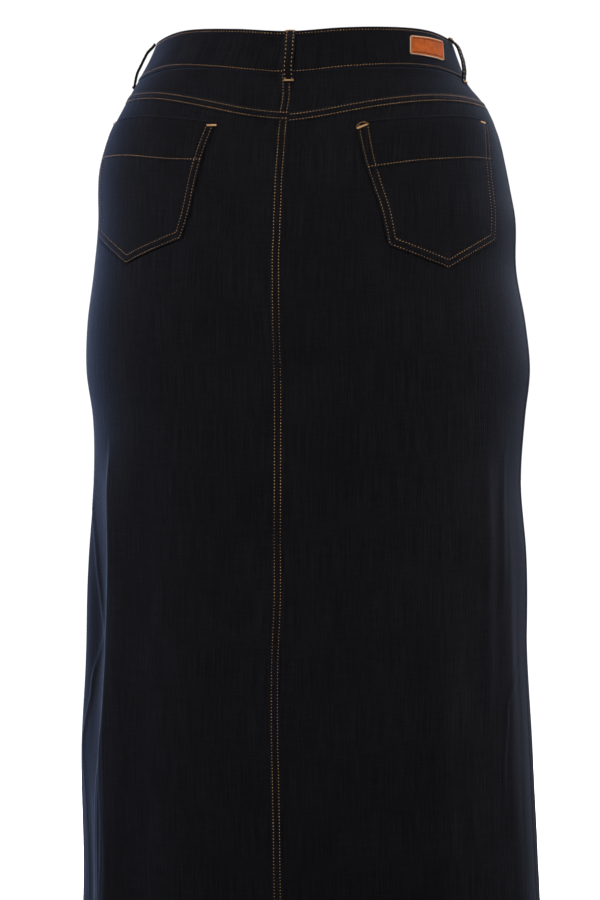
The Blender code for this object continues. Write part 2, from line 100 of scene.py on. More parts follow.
# angle, distance down the cloth from the waist edge
yokeSeamLeft = [
    (-180.0, 0.069), (-90.0, 0.069), (-72.0, 0.0715), (-52.0, 0.0775), (-30.0, 0.0843),
    (-12.0, 0.0915), (0.0, 0.095),
]
yokeSeamRight = [
    (0.0, 0.0975), (12.0, 0.094), (24.0, 0.09), (38.0, 0.087), (63.0, 0.0853), (90.0, 0.083),
    (180.0, 0.083),
]
# angle above, angle below, half angle, depth, top, bottom
folds = [
    (-73.0, -53.0, 8.0, 0.005, -0.45, -1.2), (-56.0, -66.0, 7.0, -0.0035, -0.5, -1.2),
    (-94.0, -88.0, 8.0, 0.0015, -0.48, -1.2), (-42.0, -38.0, 8.0, -0.0022, -0.42, -1.2),
    (55.0, 61.0, 7.5, -0.0022, -0.48, -1.2), (68.0, 75.0, 8.0, 0.0018, -0.44, -1.2),
    (86.0, 90.0, 8.0, -0.0028, -0.52, -1.2), (42.0, 45.0, 8.0, 0.0022, -0.5, -1.2),
    (112.0, 118.0, 9.0, 0.005, -0.42, -1.2), (131.0, 135.0, 8.0, -0.0042, -0.5, -1.2),
    (158.0, 152.0, 9.0, 0.003, -0.45, -1.2), (-108.0, -116.0, 9.0, 0.0045, -0.44, -1.2),
    (-131.0, -136.0, 8.0, -0.004, -0.48, -1.2), (-156.0, -150.0, 9.0, 0.003, -0.5, -1.2),
]
# Smaller creases, in metres on the cloth: across and down at both ends, half width, depth
creases = [
    (-0.196, 0.6, -0.188, 0.96, 0.011, 0.0006), (0.262, 0.5, 0.268, 0.92, 0.006, 0.0008),
    (0.243, 0.47, 0.246, 0.78, 0.007, -0.0006), (0.278, 0.58, 0.284, 0.97, 0.006, -0.0006),
    (0.205, 0.6, 0.198, 0.97, 0.012, -0.0008), (-0.09, 0.325, 0.03, 0.345, 0.013, -0.0008),
    (-0.03, 0.35, 0.12, 0.338, 0.012, 0.0007), (-0.15, 0.31, -0.05, 0.318, 0.011, 0.0007),
    (0.06, 0.315, 0.19, 0.3, 0.011, -0.0007), (-0.02, 0.62, -0.06, 0.655, 0.014, -0.0009),
    (0.36, 0.45, 0.372, 0.9, 0.009, -0.0014), (0.42, 0.5, 0.41, 0.95, 0.01, 0.0013),
    (0.5, 0.4, 0.52, 0.85, 0.011, -0.0012), (-0.36, 0.46, -0.372, 0.92, 0.009, -0.0014),
    (-0.43, 0.52, -0.418, 0.96, 0.01, 0.0013), (-0.51, 0.42, -0.525, 0.88, 0.011, -0.0012),
    (0.42, 0.15, 0.56, 0.205, 0.011, -0.0009), (-0.42, 0.15, -0.55, 0.2, 0.011, -0.0009),
    (0.47, 0.215, 0.59, 0.24, 0.012, 0.0008), (-0.48, 0.225, -0.59, 0.245, 0.012, 0.0008),
]

# Lines of the small vertical folds, as down and across
foldPaths = {
    "leftMain": [(0.45, -0.2125), (0.503, -0.2112), (0.576, -0.2092), (0.645, -0.2098),
        (0.722, -0.2112), (0.7875, -0.2118), (0.831, -0.2112), (0.885, -0.2112), (0.956, -0.2125),
        (0.99, -0.213)],
    "leftLine": [(0.44, -0.213), (0.503, -0.2117), (0.576, -0.2099), (0.645, -0.2108),
        (0.711, -0.2112), (0.766, -0.214), (0.788, -0.217), (0.81, -0.22), (0.832, -0.2258),
        (0.854, -0.2285), (0.886, -0.2315), (0.919, -0.2336), (0.952, -0.233), (0.99, -0.234)],
    "leftUpper": [(0.48, -0.279), (0.521, -0.268), (0.544, -0.2567), (0.575, -0.245),
        (0.601, -0.2384), (0.623, -0.2321), (0.651, -0.2252), (0.678, -0.2141), (0.7, -0.21)],
    "leftLower": [(0.65, -0.215), (0.678, -0.2228), (0.695, -0.2321), (0.711, -0.2402),
        (0.744, -0.2471), (0.766, -0.257), (0.789, -0.265), (0.816, -0.2663), (0.86, -0.2615)],
    "leftInner": [(0.74, -0.215), (0.788, -0.217), (0.831, -0.2171), (0.886, -0.2168),
        (0.918, -0.218), (0.957, -0.2195), (0.99, -0.22)],
    "leftThird": [(0.79, -0.218), (0.831, -0.2201), (0.853, -0.2225), (0.908, -0.2252),
        (0.957, -0.2246), (0.99, -0.225)],
    "leftSoft": [(0.47, -0.2035), (0.576, -0.201), (0.645, -0.2015), (0.722, -0.203),
        (0.7875, -0.2045), (0.885, -0.205), (0.99, -0.2065)],
    "rightInner": [(0.46, 0.2345), (0.57, 0.2308), (0.634, 0.2322), (0.78, 0.237)],
    "rightFacet": [(0.45, 0.227), (0.57, 0.2275), (0.7, 0.232), (0.85, 0.24), (0.99, 0.245)],
    "rightUpper": [(0.45, 0.262), (0.57, 0.252), (0.66, 0.25)],
    "rightCrease": [(0.655, 0.32), (0.689, 0.2946), (0.706, 0.2823), (0.7195, 0.2718),
        (0.736, 0.2617), (0.773, 0.2575), (0.805, 0.2547), (0.87, 0.254)],
    "rightCorner": [(0.6, 0.33), (0.66, 0.318), (0.7, 0.308), (0.78, 0.302), (0.99, 0.306)],
    "rightHollow": [(0.6, 0.352), (0.7, 0.346), (0.85, 0.344), (0.99, 0.348)],
}
# line, width towards the centre back, width towards the front, depth, sharpness (0 soft and round,
# 1 a flat facet up to an edge, 2 a crisp edge, 3 a flat valley on the front side only)
flutes = [
    ("leftMain", 0.055, 0.05, 0.0036, 1.0), ("leftMain", 0.05, 0.052, -0.0042, 3.0),
    ("leftSoft", 0.045, 0.055, 0.001, 1.0), ("leftLine", 0.02, 0.006, 0.0013, 2.0),
    ("leftUpper", 0.008, 0.0055, 0.0012, 2.0), ("leftLower", 0.008, 0.0055, 0.0012, 2.0),
    ("leftInner", 0.006, 0.0055, 0.0007, 2.0), ("leftThird", 0.006, 0.0055, 0.0007, 2.0),
    ("rightInner", 0.006, 0.006, 0.001, 0.0), ("rightFacet", 0.04, 0.048, 0.0026, 1.0),
    ("rightUpper", 0.005, 0.005, 0.0011, 0.0), ("rightCrease", 0.005, 0.004, 0.0011, 2.0),
    ("rightCorner", 0.03, 0.016, 0.0012, 0.0), ("rightHollow", 0.02, 0.02, -0.0012, 0.0),
]
# The centre back seam wanders a little: height, distance across
seamWander = [
    (-0.97, 0.0), (-0.877, 0.0001), (-0.813, 0.0015), (-0.782, 0.0018), (-0.718, 0.0005),
    (-0.654, -0.0006), (-0.591, 0.0004), (-0.527, -0.0006), (-0.464, 0.0006), (-0.4, 0.0006),
    (-0.337, 0.0014), (-0.273, 0.0021), (-0.241, 0.0018), (-0.21, 0.0002), (-0.178, -0.0019),
    (-0.146, 0.0002), (-0.114, 0.0022), (-0.0825, 0.0011), (-0.07, 0.0009),
]


def through(table, at):
    # smooth curve through the rows of a table, whose first column is the place
    rows = np.array(table)
    places = rows[:, 0]
    values = rows[:, 1:]
    at = np.asarray(at, float)
    slopes = np.gradient(values, places, axis=0)
    i = np.clip(np.searchsorted(places, at) - 1, 0, len(places) - 2)
    span = (places[i + 1] - places[i])[..., None]
    s = np.clip((at - places[i])[..., None] / span, 0.0, 1.0)
    found = (
        (1 + 2 * s) * (1 - s) ** 2 * values[i]
        + s * (1 - s) ** 2 * span * slopes[i]
        + s * s * (3 - 2 * s) * values[i + 1]
        + s * s * (s - 1) * span * slopes[i + 1]
    )
    return found[..., 0] if rows.shape[1] == 2 else found


def ease(share):
    share = np.clip(share, 0.0, 1.0)
    return share * share * (3.0 - 2.0 * share)


def paired(first, second):
    # numbers or arrays as two arrays of one shape
    return np.broadcast_arrays(np.asarray(first, float), np.asarray(second, float))


def unit(vectors):
    return vectors / np.linalg.norm(vectors, axis=-1, keepdims=True)


def bodyForm(angle, height):
    angle, height = paired(angle, height)
    values = np.moveaxis(through(sections, height), -1, 0)
    centreX, centreY, halfWidth, back, front, fullness, turn = values
    sine = np.sin(np.radians(angle))
    cosine = np.cos(np.radians(angle))
    depth = np.where(cosine > 0.0, back, front)
    x = halfWidth * np.sign(sine) * np.abs(sine) ** (2.0 / fullness)
    y = -depth * np.sign(cosine) * np.abs(cosine) ** (2.0 / fullness)
    turn = np.radians(turn)
    turnedX = centreX + x * np.cos(turn) - y * np.sin(turn)
    turnedY = centreY + x * np.sin(turn) + y * np.cos(turn)
    return np.stack([turnedX, turnedY, height], axis=-1)


def edgeHeight(angle):
    return through(waistEdge, angle)


def yokeDown(angle):
    angle = np.asarray(angle, float)
    return np.where(angle > 0.0, through(yokeSeamRight, angle), through(yokeSeamLeft, angle))


# The cloth's own measures: a table over angles and heights of the distance across from the centre
# back and of the distance down from the waist edge
chartAngles = np.arange(-196.0, 196.01, form["chartAngle"])
chartHeights = np.arange(-1.0, 0.0401, form["chartHeight"])
chartPoints = bodyForm(chartAngles[None, :], chartHeights[:, None])
alongSteps = np.linalg.norm(np.diff(chartPoints, axis=1), axis=-1)
acrossTable = np.concatenate(
    [np.zeros((len(chartHeights), 1)), np.cumsum(alongSteps, axis=1)], axis=1
)
acrossTable -= acrossTable[:, [int(np.argmin(np.abs(chartAngles)))]]
upSteps = np.linalg.norm(np.diff(chartPoints, axis=0), axis=-1)
upTable = np.concatenate([np.zeros((1, len(chartAngles))), np.cumsum(upSteps, axis=0)], axis=0)
edgeRow = (edgeHeight(chartAngles) - chartHeights[0]) / form["chartHeight"]
edgeUp = np.array(
    [np.interp(row, np.arange(len(chartHeights)), upTable[:, j]) for j, row in enumerate(edgeRow)]
)
downTable = edgeUp[None, :] - upTable


def look(table, angle, height):
    # value of a table between its rows and columns
    column = np.clip((angle - chartAngles[0]) / form["chartAngle"], 0, len(chartAngles) - 1.001)
    row = np.clip((height - chartHeights[0]) / form["chartHeight"], 0, len(chartHeights) - 1.001)
    i = row.astype(int)
    j = column.astype(int)
    v = row - i
    u = column - j
    above = table[i, j] * (1 - v) * (1 - u) + table[i + 1, j] * v * (1 - u)
    return above + table[i, j + 1] * (1 - v) * u + table[i + 1, j + 1] * v * u


def onChart(angle, height):
    angle, height = paired(angle, height)
    return look(acrossTable, angle, height), look(downTable, angle, height)


def spot(across, down):
    # angle and height of a point that is given by its distances across and down the cloth
    across, down = paired(across, down)
    angle = np.clip(across / form["degree"], -180.0, 180.0)
    height = 0.02 - down
    for _ in range(14):
        height = height + look(downTable, angle, height) - down
        slope = look(acrossTable, angle + 0.5, height) - look(acrossTable, angle - 0.5, height)
        step = (across - look(acrossTable, angle, height)) / np.maximum(slope, 1e-4)
        angle = np.clip(angle + np.clip(step, -25.0, 25.0), -195.0, 195.0)
    return angle, height


def heightAt(angle, down):
    # height of the point a given distance down the cloth, at a given angle
    angle, down = paired(angle, down)
    height = edgeHeight(angle) - down
    for _ in range(10):
        height = height + look(downTable, angle, height) - down
    return height


def foldLift(angle, height):
    total = np.zeros(np.broadcast(angle, height).shape)
    for above, below, halfAngle, depth, top, bottom in folds:
        share = np.clip((top - height) / (top + form["length"]), 0.0, 1.0)
        off = (angle - above - (below - above) * share + 180.0) % 360.0 - 180.0
        strength = ease((top - height) / form["foldFade"])
        strength = strength * ease((height - bottom) / form["foldFade"])
        total = total + depth * strength * np.exp(-((off / halfAngle) ** 2))
    return total


def creaseLift(across, down):
    total = np.zeros(np.broadcast(across, down).shape)
    for x0, y0, x1, y1, halfWidth, depth in creases:
        runX = x1 - x0
        runY = y1 - y0
        length = math.hypot(runX, runY)
        along = ((across - x0) * runX + (down - y0) * runY) / length
        aside = ((across - x0) * runY - (down - y0) * runX) / length
        aside = aside + 0.18 * halfWidth * np.sin(along * 31.0 + x0 * 40.0)
        fade = ease(along / (0.3 * length)) * ease((length - along) / (0.3 * length))
        total = total + depth * fade * np.exp(-((aside / halfWidth) ** 2))
    return total


def fluteLift(across, down):
    total = np.zeros(np.broadcast(across, down).shape)
    for line, inner, outer, depth, sharpness in flutes:
        path = foldPaths[line]
        outward = math.copysign(1.0, path[0][1])
        signed = (across - through(path, down)) * outward
        aside = np.abs(signed) / np.where(signed > 0.0, outer, inner)
        fade = ease((down - path[0][0]) / form["fluteFade"])
        if path[-1][0] < 0.95:
            fade = fade * ease((path[-1][0] - down) / form["fluteFade"])
        if sharpness == 3.0:
            chord = 4.0 * signed / outer * (1.0 - signed / outer)
            shape = 0.5 * (chord + np.sqrt(chord**2 + form["fluteBlunt"] ** 2))
        elif sharpness:
            blunt = form["fluteBlunt"]
            away = np.sqrt(aside**2 + blunt**2) - blunt
            shape = np.clip(1.0 - away, 0.0, 1.0) ** sharpness
        else:
            shape = np.exp(-(aside**2))
        total = total + depth * fade * shape
    return total


def skinPoint(angle, height):
    # the face of the panels with their folds, before the seams' relief
    step = 0.6
    rise = 0.002
    along = unit(bodyForm(angle + step, height) - bodyForm(angle - step, height))
    up = unit(bodyForm(angle, height + rise) - bodyForm(angle, height - rise))
    out = unit(np.cross(along, up))
    across, down = onChart(angle, height)
    lift = foldLift(angle, height) + creaseLift(across, down) + fluteLift(across, down)
    return bodyForm(angle, height) + out * lift[..., None]


def skin(angle, height):
    # point and outward direction of the skin
    angle, height = paired(angle, height)
    along = unit(skinPoint(angle + 0.4, height) - skinPoint(angle - 0.4, height))
    up = unit(skinPoint(angle, height + 0.002) - skinPoint(angle, height - 0.002))
    return skinPoint(angle, height), unit(np.cross(along, up))


# ---- relief of the sewing
sewing = {
    "gauge": 0.0066,
    "seamRise": 0.00075,
    "seamHalfWidth": 0.0053,
    "dimple": 0.00035,
    "pucker": 0.00022,
}


def ridge(x, centre, width):
    return np.exp(-(((x - centre) / width) ** 2))


# wave length, weight and share of the seed in the waves that stitches pull into cloth
puckerWaves = ((0.0123, 1.0, 1.0), (0.0191, 0.7, 2.1), (0.0072, 0.5, 3.7))


def puckers(along, seed):
    # uneven little waves along a line of stitches
    waves = [w * np.sin(along * 2 * math.pi / size + k * seed) for size, w, k in puckerWaves]
    return sum(waves) / 2.2


def felledSeam(x, along, seed):
    # raised double seam: a crisp folded edge on one side, a soft one on the other, two stitch lines
    half = sewing["seamHalfWidth"]
    plateau = ease((x + half) / 0.0007) * ease((half + 0.0008 - x) / 0.0016)
    lift = sewing["seamRise"] * plateau
    for side in (-0.5, 0.5):
        lift = lift - sewing["dimple"] * ridge(x, side * sewing["gauge"], 0.0008)
    return lift + sewing["pucker"] * puckers(along, seed) * ridge(x, 0.0, 0.0085)


def seamPlace(height, onYoke):
    # how far across the centre back seam lies from the middle
    return np.full(np.shape(height), -0.0008) if onYoke else through(seamWander, height)


def clothLift(angle, height):
    # relief of the yoke and panels: centre back, yoke, centre front and side seams
    across, down = onChart(angle, height)
    belowYoke = down - yokeDown(angle)
    back = np.cos(np.radians(angle)) > 0.0
    fromSeam = across - np.where(belowYoke < 0.0, seamPlace(height, True), seamPlace(height, False))
    centre = np.where(np.abs(across) < 0.03, felledSeam(fromSeam, down, 0.4), 0.0)
    yoke = np.where(back & (np.abs(belowYoke) < 0.03), felledSeam(belowYoke, across, 1.9), 0.0)
    toFront = across - look(acrossTable, np.where(angle > 0.0, 180.0, -180.0), height)
    front = np.where(np.abs(toFront) < 0.03, felledSeam(toFront, down, 3.1), 0.0)
    lift = np.where(np.abs(centre) > np.abs(yoke), centre, yoke) + front
    for side, seed in ((90.0, 5.0), (-90.0, 6.0)):
        aside = across - look(acrossTable, side, height)
        plain = 0.00035 * ridge(aside, 0.0045, 0.0045) - 0.0006 * ridge(aside, 0.0, 0.0008)
        plain = plain + 0.0002 * puckers(down, seed) * ridge(aside, 0.0, 0.010)
        lift = lift + np.where(np.abs(aside) < 0.04, plain, 0.0)
    return lift


# ---- colours and materials
def linear(hexCode):
    # sRGB hex to linear colour
    channels = [int(hexCode[i : i + 2], 16) / 255 for i in (1, 3, 5)]
    rgb = [c / 12.92 if c <= 0.04045 else ((c + 0.055) / 1.055) ** 2.4 for c in channels]
    return (*rgb, 1.0)


def addNode(tree, kind, inputs, output=0, **settings):
    # one node and one of its outputs; an input takes a value or another node's output
    node = tree.nodes.new("ShaderNode" + kind)
    for key, value in settings.items():
        setattr(node, key, value)
    for key, value in inputs.items():
        if isinstance(value, bpy.types.NodeSocket):
            tree.links.new(value, node.inputs[key])
        else:
            node.inputs[key].default_value = value
    return node.outputs[output]


def addMath(tree, operation, *terms):
    return addNode(tree, "Math", dict(enumerate(terms)), operation=operation)


def addMapping(tree, place, scale, turn=0.0):
    inputs = {"Vector": place, "Rotation": (0.0, 0.0, math.radians(turn)), "Scale": scale}
    return addNode(tree, "Mapping", inputs)


def addNoise(tree, place, scale, detail, roughness=0.5, dimensions="2D"):
    inputs = {"Vector": place, "Scale": scale, "Detail": detail, "Roughness": roughness}
    return addNode(tree, "TexNoise", inputs, "Fac", noise_dimensions=dimensions)


def addBands(tree, place, scale, distortion, detail):
    inputs = {"Vector": place, "Scale": scale, "Distortion": distortion, "Detail": detail}
    return addNode(tree, "TexWave", inputs, "Fac", wave_type="BANDS", bands_direction="X")


def addMix(tree, first, second, factor):
    # colour between two, each a hex code or another node's output
    ends = {"A": first, "B": second}
    ends = {key: linear(end) if isinstance(end, str) else end for key, end in ends.items()}
    return addNode(tree, "Mix", {"Factor": factor, **ends}, "Result", data_type="RGBA")


def startMaterial(name, values):
    material = bpy.data.materials.new(name)
    material.use_nodes = True
    shader = material.node_tree.nodes["Principled BSDF"].inputs
    for key, value in values.items():
        shader[key].default_value = value
    return material, material.node_tree, shader


def linkLook(tree, shader, colour, relief=None, strength=0.5, distance=0.0003):
    # the shader's colour and, from a relief, its bump
    tree.links.new(colour, shader["Base Color"])
    if relief is not None:
        inputs = {"Strength": strength, "Distance": distance, "Height": relief}
        tree.links.new(addNode(tree, "Bump", inputs), shader["Normal"])


denimLook = {
    "face": ("#050505", "#181619"),
    "inside": ("#17181f", "#3c3f49"),
    "faceSheen": 0.22,
    "insideSheen": 0.15,
    "sheenTint": "#cfe2ff",
    # slubs of the warp and of the weft, fine warp and broad fading: millimetres across and along,
    # detail, roughness and weight; the slubs are drawn twice as coarse as real yarns
    "noises": [
        (1.5, 60.0, 3.0, 0.6, 0.50),
        (30.0, 1.5, 2.0, 0.6, 0.24),
        (1.2, 9.0, 2.0, 0.6, 0.24),
        (1000.0 / 22.0, 1000.0 / 14.0, 2.0, 0.5, 0.10),
    ],
    "twill": 1.1,  # millimetres between ribs, drawn a little coarser than the real 0.8
    "twillTurn": 27.0,
    "twillWeight": 0.07,
}


def makeDenim(name, colours, sheen):
    # Stretch denim, rope-dyed near black and rinsed once. A 3/1 twill with slubby yarns both ways,
    # so the eye gets fine uneven vertical lines with a faint crosshatch, matt in front and bluish
    # from the fuzz at a grazing angle.
    material, tree, shader = startMaterial(name, {
        "Roughness": 0.82,
        "Specular IOR Level": 0.06,
        "Sheen Weight": sheen,
        "Sheen Roughness": 0.42,
        "Sheen Tint": linear(denimLook["sheenTint"]),
    })
    uv = addNode(tree, "TexCoord", {}, "UV")
    total = 0.0
    for acrossMm, alongMm, detail, roughness, weight in denimLook["noises"]:
        place = addMapping(tree, uv, (1000.0 / acrossMm, 1000.0 / alongMm, 1.0))
        noise = addNoise(tree, place, 1.0, detail, roughness)
        total = addMath(tree, "MULTIPLY_ADD", noise, weight, total)
    turned = addMapping(tree, uv, (1000.0 / denimLook["twill"],) * 3, denimLook["twillTurn"])
    ribs = addBands(tree, turned, 0.159, 0.6, 1.0)
    total = addMath(tree, "MULTIPLY_ADD", ribs, denimLook["twillWeight"], total)
    values = {"Value": total, "From Min": 0.42, "From Max": 0.84}
    shade = addNode(tree, "MapRange", values, interpolation_type="SMOOTHSTEP")
    linkLook(tree, shader, addMix(tree, *colours, shade), total, 0.8, 0.0006)
    return material


# colour of the plies, the painted shade of the grooves between them, and the twist in degrees
threadLook = {"colour": "#eabf80", "shade": "#b07e44", "twist": 35.0}


def makeThread():
    # Corespun polyester topstitching thread, two-ply and twisted: golden tan with a soft gloss on
    # the
    # Top of each stitch. Shade is painted in: a darker colour runs in twisted stripes along the
    # grooves between the plies.
    material, tree, shader = startMaterial(
        "goldenTopstitchThread",
        {"Roughness": 0.48, "Specular IOR Level": 0.35, "Sheen Weight": 0.15},
    )
    uv = addNode(tree, "TexCoord", {}, "UV")
    pliesAndGrooveShade = addBands(
        tree, addMapping(tree, uv, (6.0, 6.0, 1.0), threadLook["twist"]), 0.8, 0.4, 2.0
    )
    # the darker stripes along the grooves between the plies are painted shade
    colour = addMix(tree, threadLook["shade"], threadLook["colour"], pliesAndGrooveShade)
    linkLook(tree, shader, colour, pliesAndGrooveShade, 0.5, 0.0001)
    return material


leatherLook = {
    "face": "#b4581b",
    "shade": "#9a4a15",
    "edge": "#e2c9a8",
    "edgeShade": "#a98a68",
    "pressed": "#3a190d",
    "inset": 0.0029,  # of the rows of dashes from the long edges
    "halfLine": 0.00065,
    "halfPitch": 0.0018,
    "halfGap": 0.0005,
    "ends": 0.0034,  # from the short edges to the first and last dash
}


def makeLeather(patchWidth, patchDepth):
    # Vegetable-tanned split with a dyed, brushed face: warm tan with a fine pebble and hardly any
    # gloss, and two rows of dark dashes pressed in along the top and the bottom. The patch's own
    # UV map runs in metres from its lower corner.
    material, tree, shader = startMaterial(
        "tanPatchLeather", {"Roughness": 0.6, "Specular IOR Level": 0.12}
    )
    uv = addNode(tree, "TexCoord", {}, "UV")
    kinds = {"voronoi_dimensions": "2D", "feature": "DISTANCE_TO_EDGE"}
    grain = addNode(tree, "TexVoronoi", {"Vector": uv, "Scale": 1400.0}, "Distance", **kinds)
    mottle = addNoise(tree, uv, 170.0, 4.0)
    across = addNode(tree, "SeparateXYZ", {"Vector": uv}, "X")
    fromTop = addMath(tree, "PINGPONG", across.node.outputs["Y"], patchDepth / 2)
    fromSide = addMath(tree, "PINGPONG", across, patchWidth / 2)
    fromGap = addMath(tree, "PINGPONG", across, leatherLook["halfPitch"])
    line = addMath(tree, "COMPARE", fromTop, leatherLook["inset"], leatherLook["halfLine"])
    dash = addMath(tree, "GREATER_THAN", fromGap, leatherLook["halfGap"])
    inside = addMath(tree, "GREATER_THAN", fromSide, leatherLook["ends"])
    pressed = addMath(tree, "MULTIPLY", addMath(tree, "MULTIPLY", line, dash), inside)
    shade = addNode(tree, "MapRange", {"Value": mottle, "From Min": 0.3, "From Max": 0.62})
    tan = addMix(tree, leatherLook["shade"], leatherLook["face"], shade)
    colour = addMix(tree, tan, leatherLook["pressed"], pressed)
    linkLook(tree, shader, colour, addMath(tree, "MULTIPLY_ADD", pressed, -1.6, grain))
    return material


def makeRawEdge():
    # Cut edge of the leather: undyed pale fibres, matt
    material, tree, shader = startMaterial("rawLeatherEdge", {"Roughness": 0.85})
    place = addNode(tree, "TexCoord", {}, "Object")
    fibres = addNoise(tree, place, 900.0, 2.0, dimensions="3D")
    linkLook(tree, shader, addMix(tree, leatherLook["edgeShade"], leatherLook["edge"], fibres))
    return material


brassLook = {"hollow": "#5f4526", "worn": "#b88a4e", "dull": 0.5, "polished": 0.28}


def makeBrass():
    # Stamped brass, tumbled and antiqued: a warm worn top with darker hollows, satin
    material, tree, shader = startMaterial("antiquedBrass", {"Metallic": 1.0, "Roughness": 0.36})
    place = addNode(tree, "TexCoord", {}, "Object")
    stain = addNoise(tree, place, 520.0, 5.0, dimensions="3D")
    linkLook(tree, shader, addMix(tree, brassLook["hollow"], brassLook["worn"], stain))
    values = {"Value": stain, "From Min": 0.3, "From Max": 0.7}
    values.update({"To Min": brassLook["dull"], "To Max": brassLook["polished"]})
    tree.links.new(addNode(tree, "MapRange", values), shader["Roughness"])
    return material


denim = makeDenim("rinsedIndigoDenim", denimLook["face"], denimLook["faceSheen"])
denimInside = makeDenim("denimWrongSide", denimLook["inside"], denimLook["insideSheen"])
thread = makeThread()
rawEdge = makeRawEdge()
brass = makeBrass()
print("materials are made")


# ---- making pieces
def deselect():
    bpy.ops.object.select_all(action="DESELECT")


def pick(piece):
    # the only selected and active object
    deselect()
    piece.select_set(True)
    bpy.context.view_layer.objects.active = piece


def applyModifier(piece, kind, **settings):
    modifier = piece.modifiers.new(kind.title(), kind)
    for key, value in settings.items():
        setattr(modifier, key, value)
    pick(piece)
    bpy.ops.object.modifier_apply(modifier=modifier.name)


def makeSheet(name, points, uv, thickness, faceMaterial, innerMaterial=None, rounded=0):
    # a sheet of cloth on a grid of points, whose rows run from the top down
    rows, columns = points.shape[:2]
    deselect()
    bpy.ops.mesh.primitive_grid_add(
        x_subdivisions=columns - 1, y_subdivisions=rows - 1, size=1.0, calc_uvs=True
    )
    piece = bpy.context.object
    piece.name = name
    mesh = piece.data
    mesh.name = name
    mesh.vertices.foreach_set("co", points[::-1].reshape(-1).astype(np.float32))
    corners = np.zeros(len(mesh.loops), dtype=np.int32)
    mesh.loops.foreach_get("vertex_index", corners)
    places = uv[::-1].reshape(-1, 2)[corners]
    mesh.uv_layers.active.data.foreach_set("uv", places.reshape(-1).astype(np.float32))
    mesh.materials.append(faceMaterial)
    if innerMaterial is not None:
        mesh.materials.append(innerMaterial)
    mesh.update()
    other = 0 if innerMaterial is None else 1
    applyModifier(piece, "SOLIDIFY", thickness=thickness, offset=-1.0, material_offset=other)
    if rounded:
        applyModifier(piece, "SUBSURF", levels=rounded, render_levels=rounded)
    pick(piece)
    bpy.ops.object.shade_smooth()
    return piece


def finishPiece(piece, node):
    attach(piece, "root")
    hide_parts(node)


# where the points lie close together beside a seam
seamSteps = np.array([0.0, 5, 12, 21, 28, 34, 41, 49, 58, 72, 95]) * 1e-4
# towards a side seam the columns stand closer: how much more of them, up to which share of the
# width, and over which share the change is spread
sideColumns = {"more": 3.0, "upTo": 0.46, "over": 0.10}


def spread(length, count, last=True, fine=0):
    # places along a length, close together at its sewn ends and, if asked, towards a side seam
    length = np.asarray(length, float)[..., None]
    end = seamSteps if last else np.array([0.0, 0.002])
    middle = np.linspace(0.0, 1.0, count + 1)[1:-1]
    if fine:
        share = np.linspace(0.0, 1.0, 400)
        fromSide = share if fine > 0 else 1 - share
        dense = ease((sideColumns["upTo"] - fromSide) / sideColumns["over"])
        dense = np.cumsum(1.0 + sideColumns["more"] * dense)
        middle = np.interp(middle, (dense - dense[0]) / (dense[-1] - dense[0]), share)
    middle = seamSteps[-1] + (length - seamSteps[-1] - end[-1]) * middle
    start = np.broadcast_to(seamSteps, length.shape[:-1] + seamSteps.shape)
    return np.concatenate([start, middle, length - end[::-1]], axis=-1)


def clothGrid(angle0, angle1, topDown, bottomDown, columns, rows, onYoke):
    # chart places of a piece between two angles, from one curve across the cloth to another; it
    # runs a hair past its seams, so no light comes through them
    fine = 0 if onYoke else (1 if abs(angle0) == 90.0 else -1)
    angle0 = angle0 - panels["seamLap"]
    angle1 = angle1 + panels["seamLap"]
    centreBack = min(abs(angle0), abs(angle1)) < 1.0
    row = int(np.argmin(np.abs(chartHeights - panels["measured"])))
    across0, across1 = (look(acrossTable, a, panels["measured"]) for a in (angle0, angle1))
    places = spread(across1 - across0, columns, fine=fine) + across0
    angle = np.interp(places, acrossTable[row], chartAngles)[None, :]
    for _ in range(5):
        top = topDown(angle[0])
        bottom = bottomDown(angle[-1])
        down = top[None, :] + spread(bottom - top, rows, onYoke).T
        angle, height = np.broadcast_arrays(angle, heightAt(angle, down))
        start = look(acrossTable, angle0, height)
        end = look(acrossTable, angle1, height)
        length = (end - start)[:, :1]
        across = start + (end - start) * spread(length[:, 0], columns, fine=fine) / length
        if centreBack:
            across = across + seamPlace(height, onYoke) * ease(1.0 - np.abs(across) / 0.07)
        angle, height = spot(across, down)
    return angle, height, across, down


def onCloth(angle, height, lift):
    point, out = skin(angle, height)
    return point + out * np.asarray(lift)[..., None], out


# ---- panels and yokes
panels = {
    "cloth": 0.0013,
    "seamLap": 0.008,  # degrees
    "measured": -0.3,  # height where the columns are first spread
    "hemRadius": 0.0016,
    "hemRows": (0.004, 0.011, 0.018, 0.0235),  # of the turned cloth inside, above its fold
    "columns": {"back": 160, "front": 100},
    "rows": {"back": 190, "front": 130},
    "yokeColumns": 64,
    "yokeRows": 8,
    "underBand": 0.0012,
}
hemHeight = float(edgeHeight(np.zeros(1))[0]) - form["length"]


def hemDown(angle):
    return look(downTable, angle, hemHeight + panels["hemRadius"])


def withTurnedHem(angle, height, lift, down):
    # rows that carry the cloth round the hem's fold and back up inside
    radius = panels["hemRadius"]
    turns = [math.radians(turn) for turn in np.linspace(0.0, 180.0, 7)[1:]]
    rises = [radius - radius * math.sin(turn) for turn in turns]
    rises += [radius + rise for rise in panels["hemRows"]]
    lifts = [-radius + radius * math.cos(turn) for turn in turns]
    lifts += [-2 * radius] * len(panels["hemRows"])
    count = len(rises)
    heights = hemHeight + np.array(rises)[:, None] + np.zeros((count, angle.shape[1]))
    downs = down[-1:] + 0.0025 * np.arange(1, count + 1)[:, None]
    return (
        np.concatenate([angle, np.repeat(angle[-1:], count, axis=0)]),
        np.concatenate([height, heights]),
        np.concatenate([lift, np.array(lifts)[:, None] + lift[-1:]]),
        np.concatenate([down, downs]),
    )


